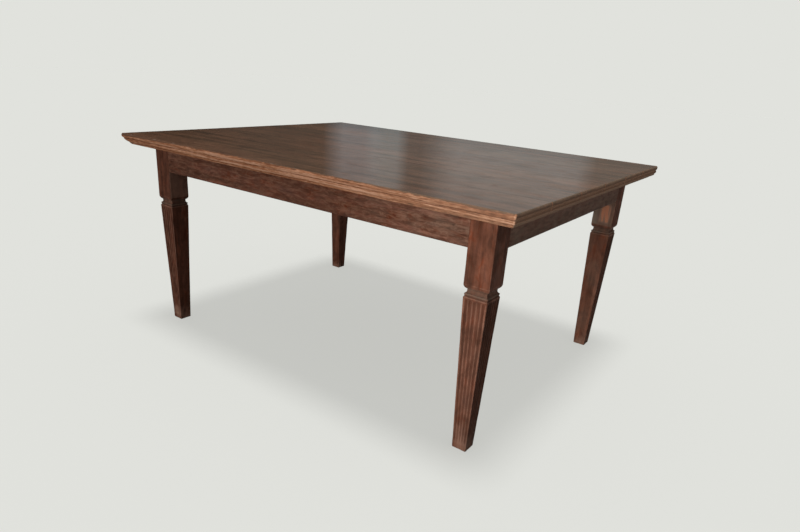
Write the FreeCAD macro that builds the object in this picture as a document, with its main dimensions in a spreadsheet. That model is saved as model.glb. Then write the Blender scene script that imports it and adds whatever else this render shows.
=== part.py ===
import FreeCAD, Part
import math
import os
import Sketcher

# A plank-top dining table on four tapered, fluted legs.
# Millimetres. X runs along the table, Y towards its back, Z up.
# The origin is on the floor, under the centre of the top.

doc = FreeCAD.newDocument("plank_table")

# Driving sizes, one named cell each
SIZES = [
    # Whole table
    ("table_height", 762),
    ("top_length", 1650),
    ("top_width", 1270),
    ("top_thickness", 35),
    ("board_count", 6),
    # Moulding on the edge of the top, two rolls over a fillet: how far each point stands back from the edge,
    # and how high the upper roll, the quirk under each roll and the fillet are
    ("edge_top_setback", 2.5),
    ("edge_upper_height", 15),
    ("edge_upper_setback", 2.2),
    ("edge_quirk_depth", 6),
    ("edge_quirk_height", 2),
    ("edge_lower_setback", 2.8),
    ("edge_lower_foot_setback", 4.2),
    ("edge_foot_quirk_depth", 7.5),
    ("edge_fillet_setback", 5.5),
    ("edge_fillet_height", 5),
    ("edge_under_setback", 6.5),
    # Loose tongues in the seams between boards
    ("tongue_thickness", 8),
    ("tongue_width", 24),
    ("tongue_end_margin", 60),
    # How far the top reaches past the legs
    ("end_overhang", 84),
    ("side_overhang", 88),
    # Leg widths, from the foot up
    ("foot_width", 47),
    ("shaft_width", 75.5),
    ("quirk_width", 70),
    ("ring_width", 72.4),
    ("neck_width", 62),
    ("ovolo_width", 65),
    ("leg_block", 80),
    # Leg heights, from the floor up, each the height of its own stretch
    ("shaft_height", 489),
    ("bevel_height", 4.5),
    ("ring_rise", 2.5),
    ("ring_height", 4),
    ("cove_height", 9),
    ("neck_height", 5),
    ("ovolo_height", 14),
    # Flutes on the outward faces of the shaft
    ("flute_count", 5),
    ("flute_radius", 6.2),
    ("flute_depth", 2.4),
    ("flute_top_margin", 6),
    ("flute_foot_margin", 24),
    # Aprons and their tenons
    ("apron_height", 99),
    ("apron_thickness", 25),
    ("apron_chamfer", 3),
    ("tenon_thickness", 9),
    ("tenon_height", 62),
    ("tenon_length", 42),
    ("tenon_drop", 28),
    # Groove for the buttons in the inside of the aprons
    ("groove_drop", 12),
    ("groove_height", 10),
    ("groove_depth", 10),
    # Cross rails under the top
    ("rail_spacing", 520),
    ("rail_thickness", 30),
    ("rail_height", 60),
    ("rail_tenon_thickness", 12),
    ("rail_tenon_height", 30),
    ("rail_tenon_length", 12),
    ("rail_tenon_drop", 24),
    ("rail_screw_grip", 25),
    # Buttons that hold the top down
    ("button_length", 40),
    ("button_width", 45),
    ("button_height", 24),
    ("button_gap", 0.8),
    ("button_lip_length", 9),
    ("button_lip_thickness", 9),
    ("button_screw_grip", 20),
    ("button_brace_gap", 37),
    # Corner braces behind the legs
    ("brace_thickness", 22),
    ("brace_height", 60),
    ("brace_drop", 6),
    ("brace_leg_gap", 4),
    ("brace_screw_grip", 7),
    # Slotted wood screws
    ("screw_shank", 4),
    ("screw_head", 8),
    ("screw_head_height", 2.5),
    ("screw_slot_width", 1),
    ("screw_slot_depth", 1.2),
    ("screw_tip", 5),
    ("screw_bite", 17),
    # Fits and cutting allowances
    ("fit_clearance", 0.2),
    ("end_spare", 1),
    ("overrun", 10),
]

# Shares of the sizes that they follow
UPPER_ROLL_BULGE_SHARE = 0.3
LOWER_ROLL_BULGE_SHARE = 0.35
OVOLO_BULGE_SHARE = 0.28
COVE_BULGE_SHARE = -0.36
FLUTE_PITCH_SHARE = 0.18
END_BUTTON_SHARES = (-1, -1 / 3, 1 / 3, 1)

sheet = doc.addObject("Spreadsheet::Sheet", "Sizes")
for row, (alias, number) in enumerate(SIZES, start=1):
    sheet.set(f"A{row}", alias)
    sheet.set(f"B{row}", str(number))
    sheet.setAlias(f"B{row}", alias)
doc.recompute()


def value(expression):
    """The number that an expression of named sizes gives."""
    return float(sheet.evalExpression(expression))


def size(name):
    """A named size as it is written in an expression."""
    return f"Sizes.{name}"


BOARD_COUNT = int(value(size("board_count")))
FLUTE_COUNT = int(value(size("flute_count")))

# Places that several pieces share, worked out from the named sizes
UNDERSIDE = "(Sizes.table_height - Sizes.top_thickness)"
LEG_FACE_X = "(Sizes.top_length / 2 - Sizes.end_overhang)"
LEG_FACE_Y = "(Sizes.top_width / 2 - Sizes.side_overhang)"
LEG_X = f"({LEG_FACE_X} - Sizes.leg_block / 2)"
LEG_Y = f"({LEG_FACE_Y} - Sizes.leg_block / 2)"
LONG_SHOULDER = f"(2 * ({LEG_FACE_X} - Sizes.leg_block))"
SHORT_SHOULDER = f"(2 * ({LEG_FACE_Y} - Sizes.leg_block))"
INNER_X = f"({LEG_FACE_X} - Sizes.apron_thickness)"
INNER_Y = f"({LEG_FACE_Y} - Sizes.apron_thickness)"
TENON_TOP = f"({UNDERSIDE} - Sizes.tenon_drop)"
TENON_BOTTOM = f"({TENON_TOP} - Sizes.tenon_height)"
TENON_INSET = "((Sizes.apron_thickness - Sizes.tenon_thickness) / 2)"
GROOVE_TOP = f"({UNDERSIDE} - Sizes.groove_drop)"
GROOVE_BOTTOM = f"({GROOVE_TOP} - Sizes.groove_height)"
RAIL_TENON_TOP = f"({UNDERSIDE} - Sizes.rail_tenon_drop)"
RAIL_TENON_BOTTOM = f"({RAIL_TENON_TOP} - Sizes.rail_tenon_height)"
PILOT_RADIUS = "(Sizes.screw_shank / 2 + Sizes.fit_clearance)"
HEAD_HOLE_RADIUS = "(Sizes.screw_head / 2 + Sizes.fit_clearance)"
PILOT_DEPTH = "(Sizes.screw_bite + Sizes.end_spare)"

# The brace in plan: where its two faces meet the aprons, measured from the corner between the aprons,
# and the leg's inner corner that it clears
BRACE_NEAR = "(2 * (Sizes.leg_block - Sizes.apron_thickness) + Sizes.brace_leg_gap)"
BRACE_END = "(Sizes.brace_thickness * sqrt(2))"
BRACE_FAR = f"({BRACE_NEAR} + {BRACE_END})"
BRACE_CORNER = "(Sizes.apron_thickness - Sizes.leg_block / 2)"
BRACE_SCREW = f"({BRACE_CORNER} + {BRACE_NEAR} + {BRACE_END} / 2)"
BRACE_TOP = f"({UNDERSIDE} - Sizes.brace_drop)"
BRACE_SCREW_Z = f"({BRACE_TOP} - Sizes.brace_height / 2)"

# Where the outermost buttons stand, clear of the braces, and how far the others are from the table's middle
BUTTON_ROOM = f"({BRACE_FAR} + Sizes.button_brace_gap + Sizes.button_width / 2)"
OUTER_BUTTON_X = f"({INNER_X} - {BUTTON_ROOM})"
OUTER_BUTTON_Y = f"({INNER_Y} - {BUTTON_ROOM})"
INNER_BUTTON_X = "(Sizes.rail_spacing / 4)"


# Drawing helpers

def add_body(label):
    """An empty body with its own label."""
    body = doc.addObject("PartDesign::Body", label)
    body.Label = label
    return body


def add_sketch(body, name, role, offset=None):
    """A sketch on one of the body's own planes, or parallel to it at an offset along its normal."""
    sketch = body.newObject("Sketcher::SketchObject", name)
    plane = [feature for feature in body.Origin.OriginFeatures if feature.Role == role][0]
    sketch.AttachmentSupport = [(plane, "")]
    sketch.MapMode = "FlatFace"
    if offset is not None:
        sketch.setExpression("AttachmentOffset.Base.z", offset)
    return sketch


def bind(sketch, constraints, expressions):
    """Add constraints and tie each one to its expression."""
    indices = sketch.addConstraint(constraints)
    for index, expression in zip(indices, expressions):
        sketch.setExpression(f"Constraints[{index}]", expression)


def add_edge(sketch, start, end, bulge):
    """A line, or an arc that bows by bulge times half its chord, outwards if positive.

    Gives the edge's index and which of its ends are the start and the end."""
    if not bulge:
        line = Part.LineSegment(FreeCAD.Vector(*start), FreeCAD.Vector(*end))
        return sketch.addGeometry(line), 1, 2
    chord_x = end[0] - start[0]
    chord_y = end[1] - start[1]
    chord = math.hypot(chord_x, chord_y)
    lean = (1 / bulge - bulge) / 4
    middle_x = (start[0] + end[0]) / 2
    middle_y = (start[1] + end[1]) / 2
    centre = FreeCAD.Vector(middle_x - chord_y * lean, middle_y + chord_x * lean)
    radius = chord / 4 * abs(bulge + 1 / bulge)
    start_angle = math.atan2(start[1] - centre.y, start[0] - centre.x)
    end_angle = math.atan2(end[1] - centre.y, end[0] - centre.x)
    circle = Part.Circle(centre, FreeCAD.Vector(0, 0, 1), radius)
    if bulge > 0:
        return sketch.addGeometry(Part.ArcOfCircle(circle, start_angle, end_angle)), 1, 2
    return sketch.addGeometry(Part.ArcOfCircle(circle, end_angle, start_angle)), 2, 1


def add_outline(sketch, steps):
    """A closed outline, anticlockwise. Each step is across, up and the bulge of the edge that ends there."""
    points = [(value(across), value(up)) for across, up, bulge in steps]
    starts = points[-1:] + points[:-1]
    edges = [add_edge(sketch, start, end, step[2]) for start, end, step in zip(starts, points, steps)]
    for index, (across, up, bulge) in enumerate(steps):
        edge, edge_start, edge_end = edges[index]
        following, following_start, following_end = edges[(index + 1) % len(steps)]
        sketch.addConstraint(Sketcher.Constraint("Coincident", edge, edge_end, following, following_start))
        places = [
            Sketcher.Constraint("DistanceX", -1, 1, edge, edge_end, points[index][0]),
            Sketcher.Constraint("DistanceY", -1, 1, edge, edge_end, points[index][1]),
        ]
        bind(sketch, places, [across, up])
        if bulge:
            before_across, before_up = steps[index - 1][:2]
            chord = f"sqrt(({across} - {before_across})^2 + ({up} - {before_up})^2)"
            radius = f"{chord} / 4 * {abs(bulge + 1 / bulge)}"
            bind(sketch, [Sketcher.Constraint("Radius", edge, value(radius))], [radius])


def add_rectangle(sketch, left, right, low, high):
    """A rectangle between four named places."""
    add_outline(sketch, [(left, low, 0), (right, low, 0), (right, high, 0), (left, high, 0)])


def add_circles(sketch, circles):
    """Circles, each given by across, up and radius."""
    for across, up, radius in circles:
        centre = FreeCAD.Vector(value(across), value(up))
        circle = sketch.addGeometry(Part.Circle(centre, FreeCAD.Vector(0, 0, 1), value(radius)))
        places = [
            Sketcher.Constraint("DistanceX", -1, 1, circle, 3, centre.x),
            Sketcher.Constraint("DistanceY", -1, 1, circle, 3, centre.y),
            Sketcher.Constraint("Radius", circle, value(radius)),
        ]
        bind(sketch, places, [across, up, radius])


def add_feature(body, kind, name, sketch, length, side="Symmetric", reverse=False):
    """A pad or a pocket of a sketch, to both sides of it or to one."""
    feature = body.newObject(f"PartDesign::{kind}", name)
    feature.Profile = sketch
    feature.SideType = side
    feature.Reversed = reverse
    feature.setExpression("Length", length)
    body.Tip = feature
    return feature


def pad(body, name, sketch, length):
    return add_feature(body, "Pad", name, sketch, length)


def cut_through(body, name, sketch, length):
    return add_feature(body, "Pocket", name, sketch, length)


def cut_down(body, name, sketch, length):
    """Cut against the sketch's normal."""
    return add_feature(body, "Pocket", name, sketch, length, "One side", False)


def cut_up(body, name, sketch, length):
    """Cut along the sketch's normal."""
    return add_feature(body, "Pocket", name, sketch, length, "One side", True)


def place(obj, across, back, up, turn):
    """Turn a piece about Z and put it at three named places."""
    rotation = FreeCAD.Rotation(FreeCAD.Vector(0, 0, 1), turn)
    obj.Placement = FreeCAD.Placement(FreeCAD.Vector(0, 0, 0), rotation)
    obj.setExpression("Placement.Base.x", across)
    obj.setExpression("Placement.Base.y", back)
    obj.setExpression("Placement.Base.z", up)


def downwards(edge):
    """The same edge of an outline, drawn from its top to its foot."""
    bulges = [step[2] for step in edge[1:]] + [0]
    return [(across, up, bulge) for (across, up, _), bulge in zip(edge, bulges)][::-1]


# The top

def moulded_edge(outer, inward):
    """Two rolls over a fillet, from the foot up. Inward is the sign of the way into the board."""
    quirk_top = "(Sizes.table_height - Sizes.edge_upper_height)"
    fillet_top = f"({UNDERSIDE} + Sizes.edge_fillet_height)"
    points = [
        ("edge_under_setback", UNDERSIDE, 0),
        ("edge_fillet_setback", fillet_top, 0),
        ("edge_foot_quirk_depth", f"({fillet_top} + Sizes.edge_quirk_height / 2)", 0),
        ("edge_lower_foot_setback", f"({fillet_top} + Sizes.edge_quirk_height)", 0),
        ("edge_lower_setback", f"({quirk_top} - Sizes.edge_quirk_height)", LOWER_ROLL_BULGE_SHARE),
        ("edge_quirk_depth", f"({quirk_top} - Sizes.edge_quirk_height / 2)", 0),
        ("edge_upper_setback", quirk_top, 0),
        ("edge_top_setback", size("table_height"), UPPER_ROLL_BULGE_SHARE),
    ]
    return [(f"({outer} {inward} {size(setback)})", up, bulge) for setback, up, bulge in points]


def square_edge(outer):
    """A plain jointed edge, from its foot up."""
    return [(outer, UNDERSIDE, 0), (outer, size("table_height"), 0)]


def seam(index):
    """Y of the joint below board number index, counted from the front."""
    return f"(Sizes.top_width * ({index} / Sizes.board_count - 1 / 2))"


def board_middle(index):
    return f"(Sizes.top_width * (({index} + 1 / 2) / Sizes.board_count - 1 / 2))"


TONGUE_LENGTH = "(Sizes.top_length - 2 * Sizes.tongue_end_margin)"
TONGUE_MIDDLE = "(Sizes.table_height - Sizes.top_thickness / 2)"


def tongue_groove(body, name, joint, inward):
    """The stopped groove for a loose tongue in one edge of a board."""
    outward = "-" if inward == "+" else "+"
    inner = f"({joint} {inward} (Sizes.tongue_width / 2 + Sizes.fit_clearance))"
    outer = f"({joint} {outward} Sizes.overrun)"
    left, right = (outer, inner) if inward == "+" else (inner, outer)
    half = "(Sizes.tongue_thickness / 2 + Sizes.fit_clearance)"
    sketch = add_sketch(body, f"{name}_outline", "YZ_Plane")
    add_rectangle(sketch, left, right, f"({TONGUE_MIDDLE} - {half})", f"({TONGUE_MIDDLE} + {half})")
    cut_through(body, name, sketch, f"{TONGUE_LENGTH} + 2 * Sizes.fit_clearance")


def make_board(index, screws):
    """One board of the top, with its moulded ends, tongue grooves and pilot holes for its screws."""
    label = f"top_board_{index + 1}"
    body = add_body(label)
    is_front = index == 0
    is_back = index == BOARD_COUNT - 1
    front = moulded_edge("(-Sizes.top_width / 2)", "+") if is_front else square_edge(seam(index))
    back = moulded_edge("(Sizes.top_width / 2)", "-") if is_back else square_edge(seam(index + 1))
    section = add_sketch(body, f"{label}_section", "YZ_Plane")
    add_outline(section, back + downwards(front))
    pad(body, f"{label}_plank", section, size("top_length"))

    ends = add_sketch(body, f"{label}_ends", "XZ_Plane")
    reach = "(Sizes.top_length / 2 + Sizes.overrun)"
    low = f"({UNDERSIDE} - Sizes.overrun)"
    add_rectangle(ends, f"(-{reach})", reach, low, "(Sizes.table_height + Sizes.overrun)")
    right_end = moulded_edge("(Sizes.top_length / 2)", "-")
    left_end = moulded_edge("(-Sizes.top_length / 2)", "+")
    add_outline(ends, right_end + downwards(left_end))
    cut_through(body, f"{label}_end_moulding", ends, "2 * Sizes.top_width")

    if not is_front:
        tongue_groove(body, f"{label}_front_groove", seam(index), "+")
    if not is_back:
        tongue_groove(body, f"{label}_back_groove", seam(index + 1), "-")
    holes = add_sketch(body, f"{label}_screw_places", "XY_Plane", UNDERSIDE)
    add_circles(holes, [(across, back_place, PILOT_RADIUS) for across, back_place in screws])
    cut_up(body, f"{label}_pilot_holes", holes, PILOT_DEPTH)
    return body


def make_tongue(index):
    """The loose tongue in the joint behind board number index."""
    label = f"loose_tongue_{index + 1}"
    body = add_body(label)
    section = add_sketch(body, f"{label}_section", "YZ_Plane")
    half_width = "(Sizes.tongue_width / 2)"
    half = "(Sizes.tongue_thickness / 2)"
    add_rectangle(section, f"(-{half_width})", half_width, f"(-{half})", half)
    pad(body, f"{label}_strip", section, TONGUE_LENGTH)
    place(body, "0", seam(index + 1), TONGUE_MIDDLE, 0)
    return body


# Legs

def leg_outline():
    """One side of the leg from the foot up: half its width, its height and how each edge bows."""
    stretches = [
        ("shaft_width", "shaft_height", 0),
        ("quirk_width", "bevel_height", 0),
        ("ring_width", "ring_rise", 0),
        ("ring_width", "ring_height", 0),
        ("neck_width", "cove_height", COVE_BULGE_SHARE),
        ("neck_width", "neck_height", 0),
        ("ovolo_width", None, 0),
        ("leg_block", "ovolo_height", OVOLO_BULGE_SHARE),
    ]
    height = "0"
    side = [("(Sizes.foot_width / 2)", height, 0)]
    for width, stretch, bulge in stretches:
        if stretch:
            height = f"({height} + {size(stretch)})"
        side.append((f"({size(width)} / 2)", height, bulge))
    side.append(("(Sizes.leg_block / 2)", UNDERSIDE, 0))
    return side


def leg_section(sketch):
    side = leg_outline()
    mirrored = [(f"(-{across})", up, bulge) for across, up, bulge in side]
    add_outline(sketch, side + downwards(mirrored))


def shaft_half_width(height):
    """Half the width of the tapered shaft at a height."""
    taper = "(Sizes.shaft_width - Sizes.foot_width) / Sizes.shaft_height"
    return f"((Sizes.foot_width + {taper} * {height}) / 2)"


def flute_circles(sketch, height):
    """The sections of all flutes at one height, on the two outward faces, in step with the taper."""
    half_width = shaft_half_width(height)
    shrink = f"(2 * {half_width} / Sizes.shaft_width)"
    radius = f"(Sizes.flute_radius * {shrink})"
    axis = f"(-({half_width} + (Sizes.flute_radius - Sizes.flute_depth) * {shrink}))"
    circles = []
    for index in range(FLUTE_COUNT):
        along = f"(({index} - (Sizes.flute_count - 1) / 2) * {FLUTE_PITCH_SHARE} * 2 * {half_width})"
        circles.append((along, axis, radius))
        circles.append((axis, along, radius))
    add_circles(sketch, circles)


def leg_mortise(body, name, role, face_offset, cut):
    """A mortise in one inner face, for the apron that is flush with the outward face beside it."""
    sketch = add_sketch(body, f"{name}_outline", role, face_offset)
    near = f"({TENON_INSET} - Sizes.leg_block / 2)"
    left = f"({near} - Sizes.fit_clearance)"
    right = f"({near} + Sizes.tenon_thickness + Sizes.fit_clearance)"
    low = f"({TENON_BOTTOM} - Sizes.fit_clearance)"
    high = f"({TENON_TOP} + Sizes.fit_clearance)"
    add_rectangle(sketch, left, right, low, high)
    cut(body, name, sketch, "Sizes.tenon_length + Sizes.end_spare")


def make_leg(label, across_sign, back_sign, turn):
    """A leg about its own axis. As drawn, its outward faces are -X and -Y and its inner faces +X and +Y."""
    body = add_body(label)
    front_view = add_sketch(body, f"{label}_front_view", "XZ_Plane")
    leg_section(front_view)
    pad(body, f"{label}_blank", front_view, size("leg_block"))

    side_view = add_sketch(body, f"{label}_side_view", "YZ_Plane")
    reach = "(Sizes.leg_block / 2 + Sizes.overrun)"
    high = f"({UNDERSIDE} + Sizes.overrun)"
    add_rectangle(side_view, f"(-{reach})", reach, "(-Sizes.overrun)", high)
    leg_section(side_view)
    cut_through(body, f"{label}_side_shaping", side_view, "2 * Sizes.leg_block")

    leg_mortise(body, f"{label}_mortise_a", "YZ_Plane", "Sizes.leg_block / 2", cut_down)
    leg_mortise(body, f"{label}_mortise_b", "XZ_Plane", "-Sizes.leg_block / 2", cut_up)

    flute_low = size("flute_foot_margin")
    flute_high = "(Sizes.shaft_height - Sizes.flute_top_margin)"
    low_sketch = add_sketch(body, f"{label}_flutes_low", "XY_Plane", flute_low)
    flute_circles(low_sketch, flute_low)
    high_sketch = add_sketch(body, f"{label}_flutes_high", "XY_Plane", flute_high)
    flute_circles(high_sketch, flute_high)
    flutes = body.newObject("PartDesign::SubtractiveLoft", f"{label}_flutes")
    flutes.Profile = low_sketch
    flutes.Sections = [high_sketch]
    flutes.Ruled = True
    body.Tip = flutes
    place(body, f"{across_sign} * {LEG_X}", f"{back_sign} * {LEG_Y}", "0", turn)
    return body


# Aprons

def make_apron(label, shoulder, across, back, turn, has_rails):
    """An apron along its own X, with its outer face at Y 0 and its inner face towards +Y."""
    body = add_body(label)
    thick = size("apron_thickness")
    bottom = f"({UNDERSIDE} - Sizes.apron_height)"
    groove_floor = "(Sizes.apron_thickness - Sizes.groove_depth)"
    section = add_sketch(body, f"{label}_section", "YZ_Plane")
    add_outline(section, [
        (size("apron_chamfer"), bottom, 0),
        (thick, bottom, 0),
        (thick, GROOVE_BOTTOM, 0),
        (groove_floor, GROOVE_BOTTOM, 0),
        (groove_floor, GROOVE_TOP, 0),
        (thick, GROOVE_TOP, 0),
        (thick, UNDERSIDE, 0),
        ("0", UNDERSIDE, 0),
        ("0", f"({bottom} + Sizes.apron_chamfer)", 0),
    ])
    pad(body, f"{label}_plank", section, shoulder)

    tenon = add_sketch(body, f"{label}_tenon_outline", "YZ_Plane")
    add_rectangle(tenon, TENON_INSET, f"({TENON_INSET} + Sizes.tenon_thickness)", TENON_BOTTOM, TENON_TOP)
    pad(body, f"{label}_tenons", tenon, f"{shoulder} + 2 * Sizes.tenon_length")

    screw_place = f"({shoulder} / 2 + Sizes.leg_block / 2 - {BRACE_SCREW})"
    holes = add_sketch(body, f"{label}_screw_places", "XZ_Plane", f"-{thick}")
    add_circles(holes, [(f"({sign} * {screw_place})", BRACE_SCREW_Z, PILOT_RADIUS) for sign in (-1, 1)])
    cut_up(body, f"{label}_pilot_holes", holes, PILOT_DEPTH)

    if has_rails:
        mortises = add_sketch(body, f"{label}_rail_mortise_outline", "XZ_Plane", f"-{thick}")
        half = "(Sizes.rail_tenon_thickness / 2 + Sizes.fit_clearance)"
        low = f"({RAIL_TENON_BOTTOM} - Sizes.fit_clearance)"
        high = f"({RAIL_TENON_TOP} + Sizes.fit_clearance)"
        for sign in (-1, 1):
            middle = f"({sign} * Sizes.rail_spacing / 2)"
            add_rectangle(mortises, f"({middle} - {half})", f"({middle} + {half})", low, high)
        cut_up(body, f"{label}_rail_mortises", mortises, "Sizes.rail_tenon_length + Sizes.end_spare")
    place(body, across, back, "0", turn)
    return body


# Pieces under the top

def make_rail(label, sign):
    """A cross rail under the top, between the long aprons, with a stub tenon at each end."""
    body = add_body(label)
    half = "(Sizes.rail_thickness / 2)"
    section = add_sketch(body, f"{label}_section", "XZ_Plane")
    add_rectangle(section, f"(-{half})", half, f"({UNDERSIDE} - Sizes.rail_height)", UNDERSIDE)
    pad(body, f"{label}_plank", section, f"2 * {INNER_Y}")

    tenon_half = "(Sizes.rail_tenon_thickness / 2)"
    tenon = add_sketch(body, f"{label}_tenon_outline", "XZ_Plane")
    add_rectangle(tenon, f"(-{tenon_half})", tenon_half, RAIL_TENON_BOTTOM, RAIL_TENON_TOP)
    pad(body, f"{label}_tenons", tenon, f"2 * ({INNER_Y} + Sizes.rail_tenon_length)")

    places = [board_middle(index) for index in range(1, BOARD_COUNT - 1)]
    shanks = add_sketch(body, f"{label}_shank_places", "XY_Plane", UNDERSIDE)
    add_circles(shanks, [("0", back, PILOT_RADIUS) for back in places])
    cut_down(body, f"{label}_shank_holes", shanks, size("rail_height"))
    heads = add_sketch(body, f"{label}_head_places", "XY_Plane", f"{UNDERSIDE} - Sizes.rail_screw_grip")
    add_circles(heads, [("0", back, HEAD_HOLE_RADIUS) for back in places])
    cut_down(body, f"{label}_head_holes", heads, size("rail_height"))
    place(body, f"{sign} * Sizes.rail_spacing / 2", "0", "0", 0)
    return body


def make_button(label, across, back, turn):
    """A button about the inner face of its apron, X 0, under the top, Z 0. Its lip points along -X."""
    body = add_body(label)
    high = "(-Sizes.button_gap)"
    low = f"({high} - Sizes.button_height)"
    lip_high = "(-Sizes.groove_drop)"
    lip_low = f"({lip_high} - Sizes.button_lip_thickness)"
    lip_end = "(-Sizes.button_lip_length)"
    length = size("button_length")
    section = add_sketch(body, f"{label}_section", "XZ_Plane")
    add_outline(section, [
        ("0", low, 0),
        (length, low, 0),
        (length, high, 0),
        ("0", high, 0),
        ("0", lip_high, 0),
        (lip_end, lip_high, 0),
        (lip_end, lip_low, 0),
        ("0", lip_low, 0),
    ])
    pad(body, f"{label}_block", section, size("button_width"))

    middle = "(Sizes.button_length / 2)"
    shank = add_sketch(body, f"{label}_shank_place", "XY_Plane")
    add_circles(shank, [(middle, "0", PILOT_RADIUS)])
    cut_down(body, f"{label}_shank_hole", shank, "2 * Sizes.button_height")
    head = add_sketch(body, f"{label}_head_place", "XY_Plane", f"{high} - Sizes.button_screw_grip")
    add_circles(head, [(middle, "0", HEAD_HOLE_RADIUS)])
    cut_down(body, f"{label}_head_hole", head, size("button_height"))
    place(body, across, back, UNDERSIDE, turn)
    return body


def make_brace(label, across_sign, back_sign, turn):
    """A brace about the axis of its leg, mitred between the two aprons behind that leg."""
    body = add_body(label)
    plan = add_sketch(body, f"{label}_plan", "XY_Plane", BRACE_SCREW_Z)
    near = f"({BRACE_CORNER} + {BRACE_NEAR})"
    far = f"({BRACE_CORNER} + {BRACE_FAR})"
    add_outline(plan, [
        (near, BRACE_CORNER, 0),
        (far, BRACE_CORNER, 0),
        (BRACE_CORNER, far, 0),
        (BRACE_CORNER, near, 0),
    ])
    pad(body, f"{label}_plank", plan, size("brace_height"))

    seat = f"({BRACE_CORNER} + Sizes.brace_screw_grip)"
    for role, sign, cut in (("YZ_Plane", "", cut_up), ("XZ_Plane", "-", cut_down)):
        shank = add_sketch(body, f"{label}_shank_{role}", role)
        add_circles(shank, [(BRACE_SCREW, BRACE_SCREW_Z, PILOT_RADIUS)])
        cut_through(body, f"{label}_shank_hole_{role}", shank, f"4 * {BRACE_FAR}")
        head = add_sketch(body, f"{label}_head_{role}", role, f"{sign}{seat}")
        add_circles(head, [(BRACE_SCREW, BRACE_SCREW_Z, HEAD_HOLE_RADIUS)])
        cut(body, f"{label}_head_hole_{role}", head, BRACE_FAR)
    place(body, f"{across_sign} * {LEG_X}", f"{back_sign} * {LEG_Y}", "0", turn)
    return body


# Screws

def screw_shape(grip):
    """A slotted wood screw along +Z, its head's seat at Z 0. Grip is what it passes before it bites."""
    shank_radius = value("Sizes.screw_shank / 2")
    head_radius = value("Sizes.screw_head / 2")
    head_height = value(size("screw_head_height"))
    tip = value(size("screw_tip"))
    straight = grip + value(size("screw_bite")) - tip
    shank = Part.makeCylinder(shank_radius, straight)
    point = Part.makeCone(shank_radius, 0, tip, FreeCAD.Vector(0, 0, straight))
    head = Part.makeCylinder(head_radius, head_height, FreeCAD.Vector(0, 0, -head_height))
    slot_width = value(size("screw_slot_width"))
    slot_corner = FreeCAD.Vector(-head_radius, -slot_width / 2, -head_height)
    slot = Part.makeBox(2 * head_radius, slot_width, value(size("screw_slot_depth")), slot_corner)
    return shank.fuse([point, head]).cut(slot)


def make_screws(label, grip, places):
    """All screws of one kind, each a separate solid, at given points and directions."""
    shape = screw_shape(grip)
    screws = []
    for point, direction in places:
        screw = shape.copy()
        turn = FreeCAD.Rotation(FreeCAD.Vector(0, 0, 1), FreeCAD.Vector(*direction))
        screw.Placement = FreeCAD.Placement(FreeCAD.Vector(*point), turn)
        screws.append(screw)
    group = doc.addObject("Part::Feature", label)
    group.Label = label
    group.Shape = Part.makeCompound(screws)
    group.Placement = FreeCAD.Placement()
    return group


# The assembly

CORNERS = [
    ("front_left", -1, -1, 0),
    ("front_right", 1, -1, 90),
    ("back_right", 1, 1, 180),
    ("back_left", -1, 1, 270),
]

APRONS = [
    ("front_apron", LONG_SHOULDER, "0", f"-{LEG_FACE_Y}", 0, True),
    ("right_apron", SHORT_SHOULDER, LEG_FACE_X, "0", 90, False),
    ("back_apron", LONG_SHOULDER, "0", LEG_FACE_Y, 180, True),
    ("left_apron", SHORT_SHOULDER, f"-{LEG_FACE_X}", "0", 270, False),
]

INNER_BOARDS = range(1, BOARD_COUNT - 1)

LONG_BUTTON_PLACES = [f"(-{OUTER_BUTTON_X})", f"(-{INNER_BUTTON_X})", INNER_BUTTON_X, OUTER_BUTTON_X]
END_BUTTON_PLACES = [f"({share} * {OUTER_BUTTON_Y})" for share in END_BUTTON_SHARES]


def board_above(back):
    """The index of the board over a place across the table."""
    return math.floor(value(f"({back} / Sizes.top_width + 1 / 2) * Sizes.board_count"))


# Buttons: name, place of the inner face of the apron, way that the button points, turn, board above
BUTTONS = []
for number, along in enumerate(LONG_BUTTON_PLACES, start=1):
    BUTTONS.append((f"button_front_{number}", along, f"-{INNER_Y}", (0, 1), 90, 0))
    BUTTONS.append((f"button_back_{number}", along, INNER_Y, (0, -1), 270, BOARD_COUNT - 1))
for number, back in enumerate(END_BUTTON_PLACES, start=1):
    board = board_above(back)
    BUTTONS.append((f"button_left_{number}", f"-{INNER_X}", back, (1, 0), 0, board))
    BUTTONS.append((f"button_right_{number}", INNER_X, back, (-1, 0), 180, board))


def button_screw_place(button):
    """Where a button's screw goes up into the top, and through which board."""
    name, across, back, way, turn, board = button
    screw_across = f"({across} + {way[0]} * Sizes.button_length / 2)"
    screw_back = f"({back} + {way[1]} * Sizes.button_length / 2)"
    return screw_across, screw_back, board


button_screw_places = [button_screw_place(button) for button in BUTTONS]
rail_screw_places = [
    (f"({sign} * Sizes.rail_spacing / 2)", board_middle(index), index)
    for sign in (-1, 1)
    for index in INNER_BOARDS
]

parts = []
for index in range(BOARD_COUNT):
    screws = [(x, y) for x, y, board in button_screw_places + rail_screw_places if board == index]
    parts.append(make_board(index, screws))
for index in range(BOARD_COUNT - 1):
    parts.append(make_tongue(index))
for corner, across_sign, back_sign, turn in CORNERS:
    parts.append(make_leg(f"leg_{corner}", across_sign, back_sign, turn))
    parts.append(make_brace(f"corner_brace_{corner}", across_sign, back_sign, turn))
for apron in APRONS:
    parts.append(make_apron(*apron))
parts.append(make_rail("cross_rail_left", -1))
parts.append(make_rail("cross_rail_right", 1))
for name, across, back, way, turn, board in BUTTONS:
    parts.append(make_button(name, across, back, turn))
doc.recompute()

button_seat = value(f"{UNDERSIDE} - Sizes.button_gap - Sizes.button_screw_grip")
button_grip = value("Sizes.button_screw_grip + Sizes.button_gap")
button_points = [((value(x), value(y), button_seat), (0, 0, 1)) for x, y, board in button_screw_places]
parts.append(make_screws("button_screws", button_grip, button_points))

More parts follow.
